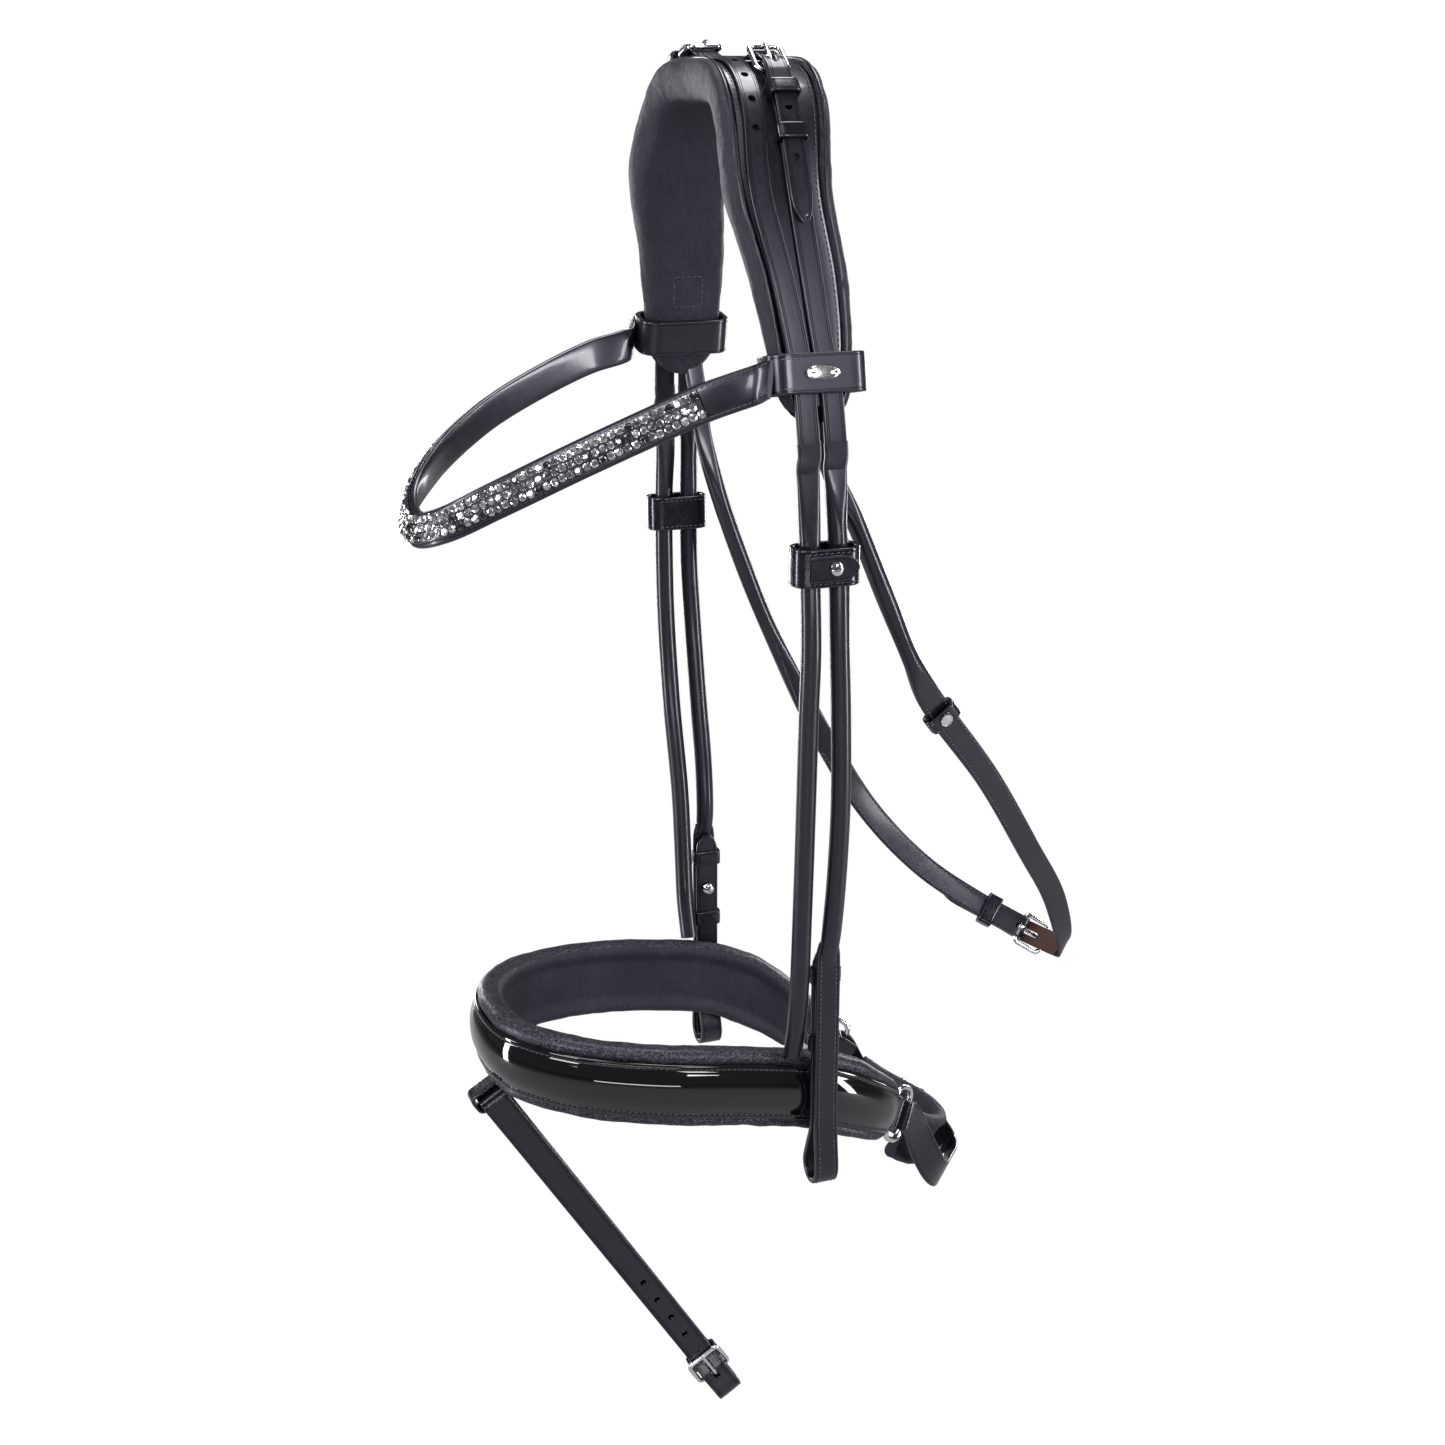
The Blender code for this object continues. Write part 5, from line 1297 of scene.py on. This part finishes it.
def make_bends():
    """The flat necks where the straps leave the headpiece, taken off their body and left where they are made.
    """
    for side in (1, -1):
        for label, route, table, low in (("noseband", NOSE_HANGER, NOSE_STRAP_Y, -8.3),
                                         ("cheek", CHEEK_ROLLED, CHEEK_STRAP_Y, 4.9)):
            y, y_end = table_value(table, 200)[0], table_value(table, 205)[0]
            x_low, y_low, z_low = route[0]
            rows = [(side * 96.85, y, -141.5, 11.0, 2.6, 7.0), (side * 97.2, y_end, -148, 10.9, 2.9, 6.0),
                    (side * x_low, y_low, z_low, 10.8, 3.2, 5.0),
                    (side * 97.4, (y_low + low) / 2, -158, 10.3, 3.3, 4.0)]
            made = sweep(f"{label}_neck_{NAMES[side]}", rows, Y_AXIS, soft_oval, LEATHER, "headpiece", 1.5)
            made.parent = None
            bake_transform(made)
        throat_neck(side, (THROAT_LEFT if side == 1 else THROAT_RIGHT)[:2])


def throat_neck(side, points):
    """The flat end of the throatlatch, sewn to the inner face of the headpiece's tip."""
    x, y, z = points[0]
    rows = [(side * 87.6, 3.5, -119, 8.0, 2.6, 5.0), (side * 86.6, 4.0, -128, 9.6, 3.0, 5.0),
            (side * 84.6, 5.0, -139, 9.6, 3.2, 5.0), (x, y, z, 9.4, 3.4, 4.0),
            ((x + points[1][0]) / 2, (y + points[1][1]) / 2, (z + points[1][2]) / 2 - 1, 9.3, 4.4, 3.0)]
    made = sweep(f"throatlatch_neck_{NAMES[side]}", rows, Y_AXIS, soft_oval, LEATHER, "headpiece", 1.5)
    made.parent = None
    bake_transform(made)


def make_cheek_keeper(side):
    """The stitched keeper that holds the two straps side by side, with a pointed tab and its stud."""
    name, body = NAMES[side], f"keeper_{NAMES[side]}"
    centre = Vector((side * 96.6, 0.3, KEEPER_Z)) if side == 1 else Vector((-96.2, -2.4, KEEPER_Z - 12))
    out = Vector((side, 0, -0.02))
    wide, deep, high, wall = 27.6, 12.8, 17.5, 2.2
    ring_keeper(f"cheek_keeper_{name}_leather", centre, Y_AXIS, out, wide, deep, high, wall, body,
                f"cheek_keeper_{name}", radius=5.0)
    place = frame_from(centre, Y_AXIS, out)
    outer = deep / 2 + wall
    tab = [(-10.5, 11.5), (-9, 12), (-2, 12), (5, 12), (8, 11), (10.5, 8.5), (12.2, 5), (13.0, 1.5)]
    rows = [(*local(place, u, outer + 0.55), width, 1.1, 0) for u, width in tab]
    sweep(f"cheek_keeper_tab_{name}", rows, place.to_3x3() @ Z_AXIS, one_crease, LEATHER, body, 1.0)
    lines = []
    for w in (high / 2 - 1.9, 1.9 - high / 2):
        for v, face in ((outer, out), (-outer, -out)):
            lines.append([(Vector(local(place, u, v, w)), face) for u in np.linspace(-12, 12, 7)])
    stitches(f"cheek_keeper_{name}_stitches", lines, body)
    face = centre + out * (outer + 0.35) + Y_AXIS * 2.0
    profile = [(0, 0.2), (3.2, 0.2), (3.25, 0.9), (3.0, 1.5), (2.3, 1.95), (1.2, 2.15), (0, 2.2)]
    stud = turned(f"cheek_keeper_stud_{name}_metal", profile, face, out, STEEL, body,
                  f"cheek_keeper_stud_{name}")
    slot = frame_from(face + out * 2.0, Y_AXIS, out)
    punch(stud, [tool_slot(slot, (-2.2, -0.4, -0.3), (2.2, 1.0, 0.3), 0.2)])


# ---------------------------------------------------------------- throatlatch


def throat_root(points):
    """The round top end about the pivot, and the rolled strap below it."""
    rows = []
    y, z = THROAT_PIVOT
    x = points[0][0]
    for d, width in ((-4.6, 3.0), (-3.4, 6.4), (-1.4, 8.8), (1.0, 9.2)):
        rows.append((x, y, z - d, width, 3.0, 4.0, *Y_AXIS))
    for k, place in enumerate(points[1:]):
        rows.append((*place, 9.0, 3.0 if k == 0 else 9.0, 4.0 if k == 0 else 2.0,
                     *(Y_AXIS if k == 0 else THROAT_ACROSS)))
    return rows


def raw_edge(obj, place):
    """Bare red-brown leather inside and along the cut edges of the strap end bent through the buckle."""
    obj.data.materials.append(FLESH)
    across, out = place.to_3x3() @ Z_AXIS, place.to_3x3() @ Y_AXIS
    middle = Vector(local(place, 10, 2))
    for polygon in obj.data.polygons:
        cut = polygon.normal.dot(out) < -0.6 or abs(polygon.normal.dot(across)) > 0.5
        if cut and (polygon.center / MM - middle).length < RAW_REACH:
            polygon.material_index = 1


def make_throatlatch():
    place = frame_from(THROAT_BUCKLE, THROAT_U, THROAT_V)
    across = tuple(place.to_3x3() @ Z_AXIS)
    flat = (12.4, LEAF, 7.0, *across)
    body = "throatlatch"
    tail = [(*p, 12.4, 2.4, 7.0, *THROAT_ACROSS) for p in THROAT_RIGHT_FLAT]
    tail += [(*local(place, u, 1.1), *flat) for u in (-24, -12)]
    tail += [(*local(place, u, v), *flat) for u, v in CHAPE_LINE[-2::-1]]
    right = sweep("throatlatch_right_leather", throat_root(THROAT_RIGHT) + tail, None, soft_oval, LEATHER,
                  body,
                  3.0, replaces="throatlatch_right")
    over = [(*p, 12.4, 2.4, 7.0, *THROAT_ACROSS) for p in THROAT_LEFT_FLAT]
    over += [(*local(place, 24.5, -7.0), *flat), (*local(place, 21.5, -0.6), *flat)]
    over += [(*local(place, u, v), *flat) for u, v in BILLET_LINE[1:]]
    over += [(*local(place, -26, 3.9), *flat)]
    over += [(*local(place, -(35 + d), 4.3), 12.4 * k, *flat[1:]) for d, k in SPEAR]
    left = sweep("throatlatch_left_leather", throat_root(THROAT_LEFT) + over, None, soft_oval, LEATHER, body,
                 3.0,
                 replaces="throatlatch_left")
    tongue_slots(place, right, left)
    raw_edge(left, place)
    lines = [seam(tail[:5], None, a, b) for a in (4.7, -4.7) for b in (-1.24, 1.24)]
    lines += [seam(over[:4], None, a, b, 2, 75) for a in (4.7, -4.7) for b in (-1.24, 1.24)]
    stitches("throatlatch_stitches", lines, body)
    buckle_wire("throatlatch_buckle_metal", place, 6.2, body, "throatlatch_buckle")
    tongue("throatlatch_tongue_metal", place, "tongue_throatlatch", "throatlatch_tongue")
    up = place.to_3x3() @ Y_AXIS
    ring_keeper("throatlatch_keeper_leather", local(place, -19.5, 2.9), across, up, 14.6, 8.0, 8.0, 1.6, body,
                "throatlatch_keeper", radius=1.2)


def make_throat_runner():
    """The loose keeper on the left strap, with its plain round plate."""
    point, _, side, out = runner_path()
    ring_keeper("throatlatch_runner_leather", point, side, out, 14.0, 4.6, 9.0, 1.8, "throat_runner",
                "throatlatch_runner", radius=1.5)
    face = point - out * (2.3 + 1.8)
    profile = [(0, 0.3), (3.35, 0.3), (3.4, 0.9), (3.1, 1.25), (2.7, 1.2), (2.5, 1.0), (1.2, 1.1), (0, 1.12)]
    turned("throatlatch_badge_metal", profile, face, -out, STEEL, "throat_runner", "throatlatch_badge")


def runner_path():
    rows = spline([(*p, 0, 0, 0) for p in THROAT_LEFT[-1:] + THROAT_LEFT_FLAT])
    return frames(thin_out(rows, 5, 0.22), THROAT_ACROSS)[RUNNER_ROW]


# ---------------------------------------------------------------- flash strap


def flash_rows(place):
    """The buckled strap: its route from the fold at the heel bar up, over the loop and down to the tip."""
    flat = (FLASH_WIDTH, LEAF, 0.0)
    reach = FLASH_DROP

    def at(u, v):
        return (*local(place, u, v), *flat)

    inner = [at(u, v) for u, v in CHAPE_LINE[:-1]]
    inner += [at(-11, 1.1), at(-14.2, 0.6), at(-15.2, -0.7), at(-14.2, -2.0), at(-11, -2.5), at(0, -2.5),
              at(30, -2.4)]
    inner += [at(reach * k, -2.6 - 2 * k) for k in (0.35, 0.6, 0.8)]
    top = [at(reach - 13, -5.6), at(reach - 4, -6.9), at(reach + 0.3, -5.6), at(reach + 1.4, -2.5)]
    top += [at(reach + 1.4, 2.5), at(reach + 0.3, 5.6), at(reach - 4, 6.9), at(reach - 13, 6.4)]
    outer = [at(reach * k, 1.6 + 5.5 * (k - 0.2)) for k in (0.8, 0.6, 0.4)] + [at(40, 1.7)]
    outer += [at(u, v) for u, v in BILLET_LINE[:-1]]
    outer += [at(-14.5, 5.2), at(-17.6, 3.2), at(-18.6, -0.6), at(-17.4, -3.6), at(-13, -4.7), at(0, -4.9),
              at(14, -4.9)]
    tip = [(*local(place, 18, -4.9), FLASH_WIDTH * 0.77, LEAF, 0.0),
           (*local(place, 21, -4.9), FLASH_WIDTH * 0.27, LEAF, 0.0)]
    return inner + top + outer + tip


def make_flash():
    foot = FLASH_TOP + FLASH_DOWN * FLASH_DROP
    place = frame_from(foot, -FLASH_DOWN, X_AXIS)
    made = sweep("flash_strap_leather", flash_rows(place), FLASH_ACROSS, two_creases, GLOSSY, "flash", 3.0,
                 replaces="flash_strap")
    half = SLOT_WIDTH / 2
    tools = [tool_slot(place, (CHAPE_SLOT_U[0], 0.0, -half), (CHAPE_SLOT_U[1], 6.8, half)),
             billet_slot(place)]
    tools += [tool_cylinder(local(place, u, 1.6), X_AXIS, 1.75, 12) for u in (32, 47, 62, 77)]
    punch(made, tools)
    buckle_wire("flash_buckle_metal", place, FLASH_WIDTH / 2, "flash", "flash_buckle")
    tongue("flash_tongue_metal", place, "tongue_flash", "flash_tongue")
    ring_keeper("flash_keeper_leather", local(place, 7.5, -3.7), place.to_3x3() @ Z_AXIS, X_AXIS,
                FLASH_WIDTH + 1.8, 4.9,
                8.0, 1.2, "flash", "flash_keeper", radius=1.2)


# ---------------------------------------------------------------- chin strap


def ring_fold(side, tail):
    """Rows round the rear bar of a ring, from a tail on its inner side to its outer side."""
    point, forward, up, out = band_end(side)
    out = -out
    bar = point + forward * (RING_BAR + RING_LENGTH)
    radius = WIRE_RING / 2 + 1.4 + LEAF / 2
    points = [bar + forward * tail - out * radius, bar + forward * 3 - out * radius]
    for angle in np.linspace(-pi / 2, -3 * pi / 2, 6):
        points.append(bar + (forward * cos(angle) + out * sin(angle)) * radius)
    return [(*p, CHIN_WIDTH, LEAF, 0.0, *up) for p in points]


def chin_pad_shape(width, thick, _):
    """Two soft rolls with a shallow channel between them."""
    half, t = width / 2, thick / 2
    side = [(half * 0.2, t * 0.45), (half * 0.5, t * 0.55), (half * 0.74, t * 0.98), (half * 0.93, t * 0.7),
            (half, 0),
            (half * 0.93, -t * 0.7), (half * 0.74, -t * 0.98), (half * 0.4, -t * 0.85)]
    return closed_curve(side + [(-a, b) for a, b in side[::-1]], 3)


def make_chin():
    half = CHIN_PAD_HALF
    rows = [(-x, y, z, 30, 8, 0) for x, y, z in half[:0:-1]] + [(x, y, z, 30, 8, 0) for x, y, z in half]
    pad = sweep("chin_pad_soft", rows, CHIN_UP, chin_pad_shape, SOFT, "noseband", 2.5, replaces="chin_pad",
                slot="padding")
    rumple(pad, 0.3, 8.0)
    place = frame_from(CHIN_BUCKLE, CHIN_U, CHIN_V)
    across = tuple(place.to_3x3() @ Z_AXIS)
    flat = (CHIN_WIDTH, LEAF, 0.0, *across)
    rows = [(*local(place, u, v), *flat) for u, v in CHAPE_LINE]
    rows += [(-45, 87, -531, CHIN_WIDTH, LEAF, 0.0, *CHIN_UP)] + ring_fold(-1, 9)[::-1]
    chape = sweep("chin_chape_leather", rows, None, one_crease, GLOSSY, "noseband", 2.0,
                  replaces="chin_chape")
    rows = ring_fold(1, 9) + [(*p, CHIN_WIDTH, LEAF, 0.0, *CHIN_UP) for p in CHIN_LEFT]
    rows += [(*local(place, u, v), *flat) for u, v in BILLET_LINE]
    rows += [(*local(place, -18, 5.4), 10, LEAF, 0.0, *across),
             (*local(place, -21, 5.3), 4, LEAF, 0.0, *across)]
    band = sweep("chin_strap_leather", rows, None, one_crease, GLOSSY, "noseband", 2.0, replaces="chin_strap")
    tongue_slots(place, chape, band)
    buckle_wire("chin_buckle_metal", place, CHIN_WIDTH / 2, "noseband", "chin_buckle")
    tongue("chin_tongue_metal", place, "tongue_chin", "chin_tongue")


# ---------------------------------------------------------------- stage, light and camera

CAMERA_PLACE = (0.8992, -0.3482, 0.004)
CAMERA_AZIMUTH, CAMERA_PITCH = radians(69.5), radians(17.4)
FLOOR_DROP = 0.12
SURROUND, BACKDROP, FLOOR_GLOW = 0.1, 1.0, 1.0


def camera_axes():
    a, p = CAMERA_AZIMUTH, CAMERA_PITCH
    back = Vector((sin(a) * cos(p), -cos(a) * cos(p), sin(p)))
    right = Vector((cos(a), sin(a), 0))
    return right, back.cross(right), back


def make_camera():
    data = bpy.data.cameras.new("photo_camera")
    data.lens, data.sensor_width = 50.0, 36.0
    data.clip_start = 0.01
    camera = bpy.data.objects.new("photo_camera", data)
    bpy.context.scene.collection.objects.link(camera)
    turn = Matrix(camera_axes()).transposed().to_4x4()
    camera.matrix_world = Matrix.Translation(CAMERA_PLACE) @ turn
    bpy.context.scene.camera = camera


def area_light(name, place, target, size, power, height=None):
    data = bpy.data.lights.new(name, "AREA")
    data.shape = "RECTANGLE"
    data.size, data.size_y = size, height or size
    data.energy = power
    light = bpy.data.objects.new(name, data)
    bpy.context.scene.collection.objects.link(light)
    light.location = place
    light.visible_camera = False
    light.rotation_euler = (Vector(target) - Vector(place)).to_track_quat("-Z", "Y").to_euler()


def make_lights():
    """Soft boxes in front, above and at both sides, as seen from the camera."""
    right, up, back = camera_axes()
    middle = Vector((0, 0, -0.32))
    boxes = (("key_window", (-0.85, 0.3, 1.5), 0.6, 15.0, 0.62),
             ("right_window", (0.8, 0.15, 1.35), 0.26, 6.0, 0.45),
             ("right_strip", (1.35, 0.1, 0.45), 0.16, 17.0, 1.5),
             ("left_strip", (-1.35, 0.1, 0.25), 0.16, 15.0, 1.5),
             ("top_box", (0.1, 1.4, 0.1), 0.8, 14.0, 0.5), ("front_fill", (-0.2, 1.15, 1.25), 1.3, 5.0, 1.0),
             ("rear_right", (0.8, 0.5, -1.2), 0.3, 8.0, 1.0), ("rear_left", (-0.8, 0.4, -1.2), 0.3, 8.0, 1.0),
             ("low_strip", (0.1, -0.75, 1.3), 0.9, 1.6, 0.05))
    for name, (x, y, z), size, power, height in boxes:
        area_light(name, middle + right * x + up * y + back * z, middle, size, power, height)


def make_world():
    """A white surround for the camera, and a dimmer grey one for reflections and fill."""
    world = bpy.data.worlds.new("studio")
    bpy.context.scene.world = world
    world.use_nodes = True
    tree = world.node_tree
    tree.nodes.clear()
    output = tree.nodes.new("ShaderNodeOutputWorld")
    mix = tree.nodes.new("ShaderNodeMixShader")
    path = tree.nodes.new("ShaderNodeLightPath")
    for i, level in ((1, SURROUND), (2, BACKDROP)):
        light = tree.nodes.new("ShaderNodeBackground")
        light.inputs["Color"].default_value = (level, level, level, 1)
        tree.links.new(light.outputs[0], mix.inputs[i])
    tree.links.new(path.outputs["Is Camera Ray"], mix.inputs[0])
    tree.links.new(mix.outputs[0], output.inputs[0])


def make_floor():
    low = cad_box[0][2] - FLOOR_DROP
    bpy.ops.mesh.primitive_plane_add(size=12, location=(0, 0, low))
    floor = bpy.context.active_object
    floor.name = "studio_floor"
    look = bpy.data.materials.new("pale_floor")
    look.use_nodes = True
    tree = look.node_tree
    shader = tree.nodes["Principled BSDF"]
    shader.inputs["Base Color"].default_value = (0.3, 0.3, 0.31, 1)
    shader.inputs["Roughness"].default_value = 0.9
    glow = tree.nodes.new("ShaderNodeEmission")
    path = tree.nodes.new("ShaderNodeLightPath")
    mix = tree.nodes.new("ShaderNodeMixShader")
    glow.inputs["Strength"].default_value = FLOOR_GLOW
    tree.links.new(path.outputs["Is Camera Ray"], mix.inputs[0])
    tree.links.new(shader.outputs[0], mix.inputs[1])
    tree.links.new(glow.outputs[0], mix.inputs[2])
    tree.links.new(mix.outputs[0], tree.nodes["Material Output"].inputs["Surface"])
    floor.data.materials.append(look)


bpy.context.scene.view_settings.view_transform = "Standard"
make_camera()
make_lights()
make_world()
make_floor()
make_headpiece()
make_browband()
make_noseband()
for hand in (1, -1):
    make_cheekpiece(hand)
    make_cheek_keeper(hand)
make_bends()
make_throatlatch()
make_throat_runner()
make_flash()
make_chin()
